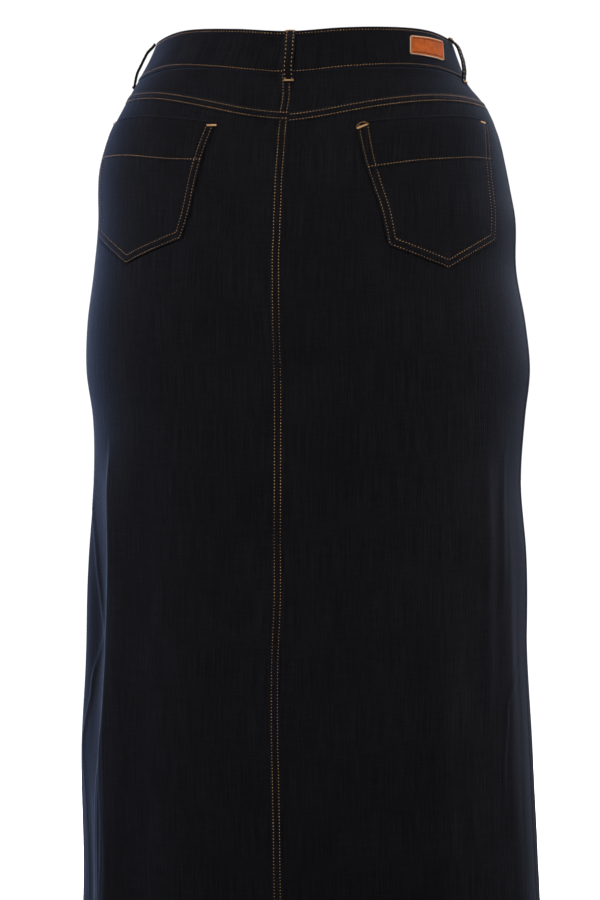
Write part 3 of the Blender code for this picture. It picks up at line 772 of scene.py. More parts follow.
def makePanel(name, node, angle0, angle1, topDown):
    side = node.split("_")[0]
    angle, height, across, down = clothGrid(
        angle0, angle1, topDown, hemDown, panels["columns"][side], panels["rows"][side], False
    )
    lift = clothLift(angle, height)
    angle, height, lift, down = withTurnedHem(angle, height, lift, down)
    across = np.concatenate([across, np.repeat(across[-1:], len(angle) - len(across), axis=0)])
    point, _ = onCloth(angle, height, lift)
    # the straight grain runs down the centre back, and on the front panels down the centre front
    if side == "front":
        centre = math.copysign(180.0, angle0)
        across = across - look(acrossTable, centre, np.maximum(height, hemHeight))
    uv = np.stack([across, down], axis=-1)
    piece = makeSheet(name, point, uv, panels["cloth"], denim, denimInside)
    finishPiece(piece, node)


def bandEdgeDown(angle):
    return np.full(np.shape(angle), form["bandDepth"] - 0.004)


def makeYoke(name, node, angle0, angle1):
    angle, height, across, down = clothGrid(
        angle0, angle1, bandEdgeDown, yokeDown, panels["yokeColumns"], panels["yokeRows"], True
    )
    underBand = ease((form["bandDepth"] + 0.0012 - down) / 0.002)
    lift = clothLift(angle, height) * (1 - underBand) - panels["underBand"] * underBand
    point, _ = onCloth(angle, height, lift)
    uv = np.stack([across, down], axis=-1)
    piece = makeSheet(name, point, uv, panels["cloth"], denim, denimInside)
    finishPiece(piece, node)


makeYoke("yokeLeftCloth", "yoke_left", -90.0, 0.0)
makeYoke("yokeRightCloth", "yoke_right", 0.0, 90.0)
makePanel("backLeftCloth", "back_panel_left", -90.0, 0.0, yokeDown)
makePanel("backRightCloth", "back_panel_right", 0.0, 90.0, yokeDown)
makePanel("frontLeftCloth", "front_panel_left", -180.0, -90.0, bandEdgeDown)
makePanel("frontRightCloth", "front_panel_right", 90.0, 180.0, bandEdgeDown)
print("yokes and panels are laid")

# ---- waistband
band = {
    "depth": form["bandDepth"],
    "proud": 0.0009,
    "cloth": 0.0026,
    "topStitch": 0.0030,
    "lapAngle": 10.0,
    "riseAngle": 12.0,
    "lapLift": 0.0031,
    "dimple": 0.0004,
    "pucker": 0.00016,
    "edgeRoll": 0.0003,
    "wave": 0.00035,
    "columnStep": 1.7,
    "endStitch": -189.3,  # degrees, of the stitches down the lap's end
    "stitchSize": 0.95,
    "stitchDeep": 0.35,
}


# how far down the waistband its lower stitching runs: angle, distance
bandStitch = [
    (-190.0, 0.0425), (-90.0, 0.041), (-43.0, 0.0412), (-12.0, 0.0446), (0.0, 0.0451),
    (17.0, 0.0436), (41.0, 0.0419), (70.0, 0.0428), (90.0, 0.043), (180.0, 0.043),
]


def bandLine(angle):
    return through(bandStitch, angle)


def bandLift(angle, down):
    # height of the waistband's outer face over the skin
    across = angle * 0.0027
    lap = band["lapLift"] * ease((-180.0 + band["riseAngle"] - angle) / band["riseAngle"])
    lift = band["proud"] + lap
    for line, seed in ((band["topStitch"], 7.0), (bandLine(angle), 11.0)):
        lift = lift - band["dimple"] * ridge(down, line, 0.0009)
        lift = lift + band["pucker"] * puckers(across, seed) * ridge(down, line, 0.005)
    lift = lift + band["edgeRoll"] * ridge(down, 0.0005, 0.0012)
    return lift + band["wave"] * np.sin(angle * 0.31) * ridge(down, 0.023, 0.010)


def makeBand():
    angles = np.arange(-180.0 - band["lapAngle"], 179.5, band["columnStep"])
    ends = angles[0] + np.array([0.0, 0.12, 0.3, 0.6, 1.0])
    angles = np.concatenate([ends, angles[1:], [179.3, 179.8]])
    downs = [0.0, 0.0006, 0.0015, 0.0023, 0.0030, 0.0037, 0.0048, 0.008, 0.014, 0.021, 0.028]
    downs += [0.034, 0.038, 0.0400]
    downs += [0.0408 + 0.0007 * k for k in range(7)] + [0.0458, band["depth"]]
    down, angle = np.meshgrid(np.array(downs), angles, indexing="ij")
    height = heightAt(angle, down)
    point, _ = onCloth(angle, height, bandLift(angle, down))
    # cut straight along the cloth: its grain goes square to its edges all round
    across, _ = onChart(angle, height)
    uv = np.stack([np.broadcast_to(across.mean(axis=0), down.shape), down], axis=-1)
    piece = makeSheet("waistbandCloth", point, uv, band["cloth"], denim, denim, 1)
    finishPiece(piece, "waistband")


makeBand()
print("waistband is laid")

# ---- pockets
pocketLook = {
    "cloth": 0.0009,
    "rise": 0.0016,
    "middle": 0.0011,
    "foldWidth": 0.0095,
    "outerLine": 0.0016,
    "lip": 0.0006,
    "gape": 0.0016,
    "mouthLine": 0.0025,
    # how far the inner line lies from the outer one: at the mouth, below it, along the bottom
    "innerLine": {"left": (0.0060, 0.0060, 0.0066), "right": (0.0085, 0.0060, 0.0066)},
    "sinks": (0.6, 0.75, 0.75, 0.95),  # of the stitches of the four sides
}
# stitching of the mouth's hem, as across and down
pocketHems = {
    "left": [(-0.2410, 0.1438), (-0.1740, 0.1500), (-0.1340, 0.1515), (-0.0827, 0.1495)],
    "right": [(0.0910, 0.1608), (0.1516, 0.1581), (0.1861, 0.1581), (0.2483, 0.1551)],
}
# corners: top inner, top outer, bottom outer, tip, bottom inner, as across and down
pocketCorners = {
    "left": [(-0.0740, 0.1075), (-0.2380, 0.1022), (-0.2460, 0.2310), (-0.1790, 0.2680),
             (-0.1080, 0.2365)],
    "right": [(0.0800, 0.1100), (0.2440, 0.1100), (0.2475, 0.2470), (0.1870, 0.2785),
              (0.1200, 0.2475)],
}


def sideDistance(across, down, here, there):
    # distance of points from the line through two corners
    runX = there[0] - here[0]
    runY = there[1] - here[1]
    return np.abs((across - here[0]) * runY - (down - here[1]) * runX) / math.hypot(runX, runY)


def pocketLift(side, across, down, angle, height):
    # height of a pocket's face over the skin: turned edges, stitch lines, a mouth that stands off
    corners = pocketCorners[side]
    pairs = zip(corners[1:], corners[2:] + corners[:1])
    fromEdge = np.minimum.reduce([sideDistance(across, down, *pair) for pair in pairs])
    fromMouth = sideDistance(across, down, *corners[:2])
    hem = mouthDepth(side, across)
    folded = ease((pocketLook["foldWidth"] - fromEdge) / 0.0015)
    thick = np.maximum(folded, ease((hem + 0.0030 - fromMouth) / 0.0015))
    lift = pocketLook["middle"] + (pocketLook["rise"] - pocketLook["middle"]) * thick
    mouth = ease((0.030 - fromMouth) / 0.030) * ease(fromEdge / 0.030)
    lift = lift + pocketLook["gape"] * mouth + pocketLook["lip"] * ridge(fromMouth, 0.0008, 0.0009)
    first = pocketLook["outerLine"]
    second = first + sewing["gauge"]
    for place, line in ((fromEdge, first), (fromEdge, second), (fromMouth, hem)):
        lift = lift - 0.0003 * ridge(place, line, 0.0008)
    lift = lift + 0.00018 * puckers(across + down, 2.0) * ridge(fromEdge, 0.004, 0.008)
    return lift + clothLift(angle, height)


def mouthDepth(side, across):
    # how far the mouth's hem stitching lies below the mouth
    (innerAcross, innerDown), (outerAcross, outerDown) = pocketCorners[side][:2]
    share = (across - innerAcross) / (outerAcross - innerAcross)
    return through(pocketHems[side], across) - innerDown - share * (outerDown - innerDown)


def onPocket(side, place, proud=0.0):
    # point and outward direction of a pocket's face at places across and down
    across, down = place[..., 0], place[..., 1]
    angle, height = spot(across, down)
    return onCloth(angle, height, pocketLift(side, across, down, angle, height) + proud)


def makePocket(side):
    corners = np.array(pocketCorners[side])
    topInner, topOuter, bottomOuter, tip, bottomInner = corners
    width = abs(topOuter[0] - topInner[0])
    toTip = abs(tip[0] - bottomInner[0]) / abs(bottomOuter[0] - bottomInner[0])
    near = np.array([0, 4, 10, 16, 22, 32, 48, 66, 75, 82, 89, 98, 112, 135]) * 1e-4
    middle = np.linspace(near[-1], width - near[-1], 30)[1:-1]
    u = np.concatenate([near, middle, width - near[::-1]]) / width
    u[int(np.argmin(np.abs(u - toTip)))] = toTip
    if side == "left":
        u = u[::-1]
    top = topInner + (topOuter - topInner) * u[:, None]
    ends = np.stack([bottomInner, tip, bottomOuter])
    bottom = [np.interp(u, [0.0, toTip, 1.0], ends[:, k]) for k in range(2)]
    bottom = np.stack(bottom, axis=-1)
    # each column has rows close together at the mouth, round the hem's stitches and at the bottom
    hemRows = np.array([-60, -48, -38, -30, -22, -15, -8, 0, 8, 15, 22, 30, 40]) * 1e-4
    columns = []
    for above, below in zip(top, bottom):
        length = float(np.linalg.norm(below - above))
        hem = float(mouthDepth(side, above[0] + (below[0] - above[0]) * 0.33))
        hem = hem * length / (below[1] - above[1])
        steps = [near, np.linspace(near[-1], hem + hemRows[0], 10)[1:-1], hem + hemRows]
        steps += [np.linspace(hem + hemRows[-1], length - near[-1], 24)[1:-1]]
        steps += [length - near[::-1]]
        columns.append(np.concatenate(steps) / length)
    v = np.stack(columns, axis=-1)
    place = top[None] + (bottom - top)[None] * v[..., None]
    point, _ = onPocket(side, place)
    name = "pocket" + side.title() + "Cloth"
    piece = makeSheet(name, point, place, pocketLook["cloth"], denim)
    applyModifier(
        piece, "BEVEL", width=0.0003, segments=2, limit_method="ANGLE",
        angle_limit=math.radians(55.0), use_clamp_overlap=True,
    )
    finishPiece(piece, "pocket_" + side)


makePocket("left")
makePocket("right")
print("pockets are laid")

# ---- belt loops
loopLook = {
    "width": 0.0106,
    "cloth": 0.0019,
    "gauge": 0.0072,
    "thick": 0.0021,
    "bars": ((0, 0.0010), (69, 0.0018)),  # row and width
}
# down, height of the underside over the skin
loopProfile = [
    (0.0004, 0.0013), (0.0045, 0.0032), (0.012, 0.0071), (0.022, 0.0081), (0.033, 0.0077),
    (0.043, 0.0058), (0.05, 0.0024), (0.053, 0.0009), (0.0575, 0.0005),
]
# angle, share of the length, lean in degrees, share of the bow
loopPlaces = {
    "loop_back": (-0.3, 1.0, 0.9, 1.0),
    "loop_side_right": (80.0, 0.97, -1.8, 1.0),
    "loop_side_left": (-86.0, 0.97, 0.0, 0.75),
    "loop_front_right": (141.0, 1.0, 0.0, 1.0),
    "loop_front_left": (-141.0, 1.0, 0.0, 1.0),
}


def loopSurface(angle, share, lean, bow, downs):
    # points of a loop's outer face, its crosswise and outward directions, by distance down
    stand = through(loopProfile, downs / share)
    stand = 0.0015 + (stand - 0.0013) * np.where(stand > 0.0013, bow, 1.0)
    angles = angle + lean * downs / 0.0575
    height = heightAt(angles, downs)
    base, out = skin(angles, height)
    ahead, _ = skin(angles + 1.0, height)
    along = unit(ahead - base)
    middle = base + out * stand[..., None]
    outward = unit(np.cross(along, -unit(np.gradient(middle, axis=0))))
    return middle + outward * loopLook["thick"], along, outward


def makeLoop(node):
    angle, share, lean, bow = loopPlaces[node]
    starts, ends = [0.0004, 0.0010, 0.0018], [0.0562, 0.0569, 0.0575]
    rows = np.concatenate([starts, np.linspace(0.003, 0.0555, 30), ends]) * share
    half = np.array([0.16, 0.27, 0.33, 0.38, 0.44, 0.5])
    asides = np.concatenate([-half[::-1], [0.0], half]) * loopLook["width"]
    point, along, outward = loopSurface(angle, share, lean, bow, rows)
    fromMiddle = np.abs(asides)
    crown = 0.00022 * ridge(fromMiddle, 0.0, 0.0026)
    crown = crown - 0.0003 * ridge(fromMiddle, loopLook["gauge"] / 2, 0.0007)
    ripple = 0.00018 * puckers(rows, angle)[:, None] * ridge(fromMiddle, 0.004, 0.003)[None]
    grid = point[:, None] + along[:, None] * asides[None, :, None]
    grid = grid + outward[:, None] * (crown[None] + ripple)[..., None]
    uv = np.stack(np.broadcast_arrays(asides[None, :], rows[:, None]), axis=-1)
    name = "".join(w.title() if i else w for i, w in enumerate(node.split("_"))) + "Cloth"
    piece = makeSheet(name, grid, uv, loopLook["cloth"], denim, denim, 1)
    finishPiece(piece, node)


for loopNode in loopPlaces:
    makeLoop(loopNode)
print("belt loops are laid")

# ---- fly
flyLook = {
    "width": 0.040,
    "straight": 0.165,
    "end": 0.212,
    "rise": 0.0014,
    "cloth": 0.0009,
    "lines": (0.0018, 0.0082),
}


def flyWidth(down):
    # distance of the fly's free edge from the centre front
    share = np.clip((down - flyLook["straight"]) / (flyLook["end"] - flyLook["straight"]), 0, 1)
    return flyLook["width"] * np.sqrt(np.clip(1.0 - share**2, 0.0, 1.0))


def fromCentreFront(aside, down):
    # angle and height of a point on the wearer's left front
    height = heightAt(np.full(aside.shape, -178.0), down)
    for _ in range(4):
        angle, height = spot(look(acrossTable, -180.0, height) + aside, down)
    return angle, height


def makeFly():
    shares = [0, 2, 6, 12, 20, 30, 40, 50, 60, 70, 78, 83, 88, 92, 95, 98, 100]
    shares = np.array(shares) * 0.01
    downs = np.concatenate([np.linspace(0.0478, 0.165, 40), np.linspace(0.167, 0.2115, 24)])
    aside = 0.0006 + shares[None, :] * (flyWidth(downs) - 0.0006)[:, None]
    down = np.repeat(downs[:, None], len(shares), axis=1)
    angle, height = fromCentreFront(aside, down)
    edge = flyWidth(down) - aside
    lift = flyLook["rise"]
    for line in flyLook["lines"]:
        lift = lift - 0.0003 * ridge(edge, line, 0.0009)
    lift = lift + clothLift(angle, height) * 0.4
    lift = lift + 0.0002 * puckers(down, 4.0) * ridge(edge, 0.005, 0.008)
    point, _ = onCloth(angle, height, lift)
    uv = np.stack([aside, down], axis=-1)
    piece = makeSheet("flyCloth", point, uv, flyLook["cloth"], denim)
    finishPiece(piece, "fly")


makeFly()
print("fly is laid")

# ---- leather patch
patchLook = {
    "cloth": 0.0013,
    "round": 0.0024,
    "bevel": 0.0009,
    "rise": 0.0026,
    "edgeDrop": 0.00035,
    "edgeWidth": 0.0022,
    "wave": 0.00012,
}
patchCorners = [(0.1315, 0.0096), (0.1828, 0.0086), (0.1812, 0.0338), (0.1321, 0.0310)]


def makePatch():
    corners = np.array(patchCorners)
    width = float(np.linalg.norm(corners[1] - corners[0]))
    depth = float(np.linalg.norm(corners[3] - corners[0]))
    radius = patchLook["round"]
    near = np.concatenate([[0.0], np.linspace(patchLook["bevel"], radius, 4)])
    x = np.concatenate([near, np.linspace(radius, width - radius, 22)[1:-1], width - near[::-1]])
    y = np.concatenate([near, np.linspace(radius, depth - radius, 12)[1:-1], depth - near[::-1]])
    x, y = np.meshgrid(x, y)
    # the corner squares of the grid are drawn in to quarter circles
    a = np.maximum(np.maximum(radius - x, x - width + radius), 0.0) / radius
    b = np.maximum(np.maximum(radius - y, y - depth + radius), 0.0) / radius
    shrink = np.where(np.minimum(a, b) > 0, np.maximum(a, b) / np.hypot(a, b).clip(1e-9), 1.0)
    x = x + np.sign(x - width / 2) * a * radius * (shrink - 1)
    y = y + np.sign(y - depth / 2) * b * radius * (shrink - 1)
    top = corners[0] + (corners[1] - corners[0]) * (x / width)[..., None]
    bottom = corners[3] + (corners[2] - corners[3]) * (x / width)[..., None]
    place = top + (bottom - top) * (y / depth)[..., None]
    angle, height = spot(place[..., 0], place[..., 1])
    edge = np.minimum.reduce([x, width - x, y, depth - y])
    border = patchLook["edgeWidth"]
    lift = patchLook["rise"] - patchLook["edgeDrop"] * ease((border - edge) / border)
    lift = lift + patchLook["wave"] * np.sin(x * 310.0) * np.sin(y * 260.0 + 1.0)
    point, _ = onCloth(angle, height, lift)
    uv = np.stack([x, depth - y], axis=-1)
    leather = makeLeather(width, depth)
    piece = makeSheet("patchLeather", point, uv, patchLook["cloth"], leather, leather)
    piece.data.materials.append(rawEdge)
    # the bevelled border and the cut edge show the undyed leather; thickening adds the faces of
    # the cut edge after those of both sides
    rows, columns = x.shape[0] - 1, x.shape[1] - 1
    for face in piece.data.polygons:
        row, column = divmod(face.index, columns)
        outermost = row in (0, rows - 1) or column in (0, columns - 1)
        if face.index >= 2 * rows * columns or (row < rows and outermost):
            face.material_index = 2
    finishPiece(piece, "patch")


makePatch()
print("patch is laid")

# ---- stitches
stitchLook = {
    "pitch": 0.0034,
    "loopPitch": 0.0044,
    "cover": 0.38,
    "width": 0.00078,
    "height": 0.00062,
    "dive": 0.55,
    "sink": 0.00032,
    "swing": 0.035,
    "hem": 0.021,  # height of the hem's stitches over its edge
}
# how deep the centre back stitches have pulled into the cloth: height, share
centreSink = [
    (-0.985, 0.8), (-0.9, 0.75), (-0.845, 0.2), (-0.79, 0.1), (-0.745, 0.4), (-0.7, 0.7),
    (-0.66, 0.75), (-0.61, 0.75), (-0.56, 0.45), (-0.515, 1.0), (-0.475, 0.15), (-0.435, 0.15),
    (-0.39, 0.45), (-0.35, 0.9), (-0.3, 0.95), (-0.262, 0.2), (-0.2, 0.0), (-0.14, 0.15),
    (-0.1, 0.45), (-0.06, 0.5), (0.01, 0.4),
]


def makeThreadShape():
    # one stitch, lying along X, whose ends dive into the cloth
    deselect()
    bpy.ops.mesh.primitive_uv_sphere_add(segments=8, ring_count=6, radius=0.5, calc_uvs=True)
    shape = bpy.context.object
    bpy.ops.object.mode_set(mode="EDIT")
    bpy.ops.mesh.select_all(action="SELECT")
    bpy.ops.transform.rotate(
        value=math.radians(90.0), orient_axis="Y", center_override=(0.0, 0.0, 0.0)
    )
    bpy.ops.object.mode_set(mode="OBJECT")
    mesh = shape.data
    verts = np.zeros(len(mesh.vertices) * 3)
    mesh.vertices.foreach_get("co", verts)
    faces = [list(p.vertices) for p in mesh.polygons]
    uv = np.zeros(len(mesh.loops) * 2)
    mesh.uv_layers.active.data.foreach_get("uv", uv)
    bpy.data.objects.remove(shape, do_unlink=True)
    verts = verts.reshape(-1, 3)
    verts[:, 0] = np.sign(verts[:, 0]) * 0.5 * (np.abs(verts[:, 0]) / 0.5) ** 0.75
    verts[:, 2] -= stitchLook["dive"] * (np.abs(verts[:, 0]) / 0.5) ** 3
    return verts, faces, uv.reshape(-1, 2)


threadShape = makeThreadShape()


def walk(points, normals, pitch):
    # centres, directions and outward normals of stitches that follow a line of points
    steps = np.linalg.norm(np.diff(points, axis=0), axis=1)
    reached = np.concatenate([[0.0], np.cumsum(steps)])
    count = max(1, int(round(reached[-1] / pitch)))
    length = reached[-1] / count
    at = (np.arange(count) + 0.5) * length

    def read(values, places):
        return np.stack([np.interp(places, reached, values[:, k]) for k in range(3)], axis=-1)

    along = read(points, at + 0.35 * length) - read(points, at - 0.35 * length)
    return read(points, at), unit(along), unit(read(normals, at)), np.full(count, length)


def sew(name, runs):
    # one mesh of many stitches; each run is centres, directions, normals, lengths, width, height
    rng = np.random.default_rng(len(name) * 7 + 3)
    verts, faces, uv = threadShape
    points = []
    for centre, along, out, length, width, height in runs:
        out = unit(out - along * np.sum(out * along, axis=-1, keepdims=True))
        swing = rng.normal(0.0, stitchLook["swing"], len(centre))[:, None]
        along = unit(along + np.cross(out, along) * swing)
        side = np.cross(out, along)
        scale = np.clip(rng.normal(1.0, 0.05, (len(centre), 1)), 0.85, 1.15)
        sizes = np.broadcast_arrays(length[:, None] * scale, width * scale, height)
        local = verts[None] * np.stack(sizes, axis=-1)
        axes = np.stack([along, side, out], axis=1)
        points.append(
            centre[:, None]
            + axes[:, None, 0] * local[..., :1]
            + axes[:, None, 1] * local[..., 1:2]
            + axes[:, None, 2] * local[..., 2:3]
        )
    points = np.concatenate(points)
    count, size = points.shape[:2]
    allFaces = [[v + i * size for v in face] for i in range(count) for face in faces]
    mesh = bpy.data.meshes.new(name)
    mesh.from_pydata(points.reshape(-1, 3).tolist(), [], allFaces)
    layer = mesh.uv_layers.new(name="UVMap")
    layer.data.foreach_set("uv", np.tile(uv, (count, 1)).reshape(-1).astype(np.float32))
    mesh.materials.append(thread)
    mesh.shade_smooth()
    piece = bpy.data.objects.new(name, mesh)
    bpy.context.scene.collection.objects.link(piece)
    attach(piece, "root")


def run(points, normals, pitch=None, size=1.0, sink=None, seed=0.0, deep=0.1):
    # stitches along a line, sunk by a table of heights or, without one, by uneven waves about deep
    pitch = pitch or stitchLook["pitch"]
    centre, along, out, length = walk(points, normals, pitch)
    if sink is None:
        place = np.arange(len(centre)) * pitch
        share = deep + 0.3 * np.sin(place * 61.0 + seed) * np.sin(place * 23.0 + 2.3 * seed + 1.0)
    else:
        share = through(sink, centre[:, 2])
    share = np.clip(share, 0.0, 1.0)[:, None]
    height = stitchLook["height"] * size
    centre = centre + out * (height * 0.30 - stitchLook["sink"] * share)
    return centre, along, out, length * stitchLook["cover"], stitchLook["width"] * size, height


def clothRun(angle, height, **looks):
    point, out = onCloth(angle, height, clothLift(angle, height))
    return run(point, out, **looks)


tackLook = {"tilt": 0.10, "rise": 0.00045, "cover": 1.5, "height": 0.0010}


def bartack(centre, along, out, length, width, count):
    # dense zigzag of thread across a short bar
    places = np.linspace(-0.5, 0.5, count)[:, None] * length
    tilt = np.where(np.arange(count) % 2, tackLook["tilt"], -tackLook["tilt"])[:, None]
    threads = unit(unit(np.cross(out, along)) + along * tilt)
    outs = np.repeat(out[None], count, axis=0)
    centre = centre + along * places + out * tackLook["rise"]
    thick = length / count * tackLook["cover"]
    return centre, threads, outs, np.full(count, width), thick, tackLook["height"]


halfGauge = sewing["gauge"] / 2
runs = []
for first, last, seam, deep in ((-89.0, 0.9, yokeSeamLeft, 0.5), (1.3, 89.0, yokeSeamRight, 0.1)):
    angle = np.linspace(first, last, 160)
    for offset in (-halfGauge, halfGauge):
        height = heightAt(angle, through(seam, angle) + offset)
        runs.append(clothRun(angle, height, seed=1.0 + first + offset * 900, deep=deep))
sew("yokeSeamStitches", runs)

runs = []
for offset in (-halfGauge, halfGauge):
    for down, onYoke in (
        (np.linspace(0.0475, 0.0925, 30), True),
        (np.linspace(0.1005, 0.983, 400), False),
    ):
        across = offset + seamPlace(heightAt(np.zeros(len(down)), down), onYoke)
        angle, height = spot(across, down)
        runs.append(clothRun(angle, height, sink=centreSink))
sew("centreBackStitches", runs)

runs = []
for offset in (-halfGauge, halfGauge):
    down = np.linspace(0.214, 0.975, 300)
    angle, height = fromCentreFront(np.full(300, offset), down)
    runs.append(clothRun(angle, height))
sew("centreFrontStitches", runs)

angle = np.linspace(-180.0, 180.0, 900)
sew("hemStitches", [clothRun(angle, np.full(900, hemHeight + stitchLook["hem"]))])


def bandRun(angle, down, **looks):
    point, out = onCloth(angle, heightAt(angle, down), bandLift(angle, down))
    return run(point, out, **looks)


looks = {"size": band["stitchSize"], "deep": band["stitchDeep"]}
end = band["endStitch"]
angle = np.linspace(end, 169.0, 700)
downs = (np.full(700, band["topStitch"]), bandLine(angle))
runs = [bandRun(angle, down, **looks) for down in downs]
down = np.linspace(band["topStitch"], float(bandLine(end)), 30)
sew("waistbandStitches", runs + [bandRun(np.full(30, end), down)])


def insetLine(side, indices, offsets):
    # a straight line of stitches between two pocket corners, at offsets from the edge
    corners = np.array(pocketCorners[side])
    here, there = corners[list(indices)]
    direction = (there - here) / np.linalg.norm(there - here)
    inward = np.array([-direction[1], direction[0]])
    if np.dot(corners.mean(axis=0) - here, inward) < 0:
        inward = -inward
    return here + inward * offsets[0], there + inward * offsets[1]


def crossing(first, second):
    # the point where two lines meet
    (a, b), (c, d) = first, second
    share = np.linalg.solve(np.array([b - a, c - d]).T, c - a)
    return a + (b - a) * share[0]


def pocketRuns(side):
    outer = pocketLook["outerLine"]
    share = np.linspace(0.0, 1.0, 60)[:, None]
    mouth = insetLine(side, (0, 1), (pocketLook["mouthLine"],) * 2)
    runs = []
    for gaps in ((0.0,) * 3, pocketLook["innerLine"][side]):
        top, low, off = (outer + gap for gap in gaps)
        sides = [insetLine(side, (0, 4), (top, low))]
        sides += [insetLine(side, pair, (off, off)) for pair in ((4, 3), (3, 2), (2, 1))]
        lines = [mouth] + sides + [mouth]
        corners = [crossing(lines[k], lines[k + 1]) for k in range(5)]
        for k, sink in enumerate(pocketLook["sinks"]):
            place = corners[k] + (corners[k + 1] - corners[k]) * share
            runs.append(pocketRun(side, place, 0.95, sink))
    hem = pocketHems[side]
    line = [np.array(row) for row in (hem[0], hem[-1])]
    if side == "left":
        line = line[::-1]
    ends = [crossing(line, insetLine(side, p, (0.0004, 0.0004)))[0] for p in ((0, 4), (1, 2))]
    across = np.linspace(ends[0], ends[1], 60)
    place = np.stack([across, through(hem, across)], axis=-1)
    return runs + [pocketRun(side, place, 1.05, 0.55)]


def pocketRun(side, place, size, sink):
    # stitches along places on a pocket; sink is how deep the outer side's stitches lie
    point, out = onPocket(side, place)
    return run(point, out, size=size, sink=[(-1.0, sink), (0.1, sink)])


def pocketBar(side, share, down, length, tilt, width=0.0021):
    # bartack at a corner of a pocket's mouth
    here, there = np.array(pocketCorners[side][:2])
    place = here + (there - here) * share + np.array([0.0, down])
    angle, height = spot(place[:1], place[1:])
    nextAngle, nextHeight = spot(place[:1] + 0.002, place[1:] + 0.002 * tilt)
    lift = pocketLift(side, place[:1], place[1:], angle, height)
    point, out = onCloth(angle, height, lift)
    ahead, _ = onCloth(nextAngle, nextHeight, lift)
    return bartack(point[0], unit(ahead[0] - point[0]), out[0], length, width, 18)


tailLook = {"proud": 0.0003, "pitch": 0.0016, "cover": 1.25, "width": 0.00042}


def threadTail(side, places):
    # a loose end of thread that lies on the pocket beside its bartack
    share = np.linspace(0.0, 1.0, len(places))
    table = [(share[k],) + tuple(place) for k, place in enumerate(places)]
    place = through(table, np.linspace(0.0, 1.0, 30))
    point, out = onPocket(side, place, tailLook["proud"])
    centre, along, out, length = walk(point, out, tailLook["pitch"])
    return centre, along, out, length * tailLook["cover"], tailLook["width"], tailLook["width"]


sew(
    "pocketLeftStitches",
    pocketRuns("left")
    + [
        pocketBar("left", 0.018, 0.0040, 0.0100, -0.12, 0.0025),
        pocketBar("left", 0.952, 0.0014, 0.0080, 0.1),
    ],
)
sew(
    "pocketRightStitches",
    pocketRuns("right")
    + [
        pocketBar("right", 0.035, 0.0055, 0.0110, -0.35),
        pocketBar("right", 0.925, 0.0030, 0.0080, 0.0),
        threadTail("right", ((0.0800, 0.1150), (0.0830, 0.1118),
                             (0.0880, 0.1112), (0.0925, 0.1135))),
    ],
)

runs = []
for node, (angle, share, lean, bow) in loopPlaces.items():
    rows = np.linspace(0.0016, 0.0563, 70) * share
    point, along, outward = loopSurface(angle, share, lean, bow, rows)
    for side in (-0.5, 0.5):
        line = point + along * side * loopLook["gauge"]
        runs.append(run(line, outward, stitchLook["loopPitch"], 1.05))
    length = loopLook["width"] * 0.95
    for row, width in loopLook["bars"]:
        runs.append(bartack(point[row], along[row], outward[row], length, width, 26))
sew("loopStitches", runs)

runs = []
for inset in flyLook["lines"]:
    down = np.concatenate([np.linspace(0.049, 0.165, 60), np.linspace(0.166, 0.2105, 90)])
    aside = flyWidth(down)
    place = np.stack([aside, down], axis=-1)
    tangent = unit(np.gradient(place, axis=0))
    place = place - np.stack([tangent[:, 1], -tangent[:, 0]], axis=-1) * inset
    place = place[(place[:, 0] > 0.0012)]
    angle, height = fromCentreFront(place[:, 0], place[:, 1])
    point, out = onCloth(angle, height, np.full(len(angle), flyLook["rise"] - 0.0002))
    runs.append(run(point, out))
sew("flyStitches", runs)
print("stitches are sewn")

# ---- button
buttonLook = {
    "angle": 175.0,
    "down": 0.022,
    "radius": 0.0085,
    "shankRadius": 0.0032,
    "shankHeight": 0.0018,
    "wall": 0.0014,
    "gap": 0.0003,  # between the shank and the lap's face
    # inset and rise of each ring, from the rim to the middle
    "rings": [
        (0.0004, 0.0005),
        (0.0007, 0.0003),
        (0.0006, 0.0),
        (0.0005, -0.0004),
        (0.0020, -0.0001),
        (0.0004, 0.0003),
        (0.0012, 0.0004),
        (0.0011, 0.0002),
    ],
}


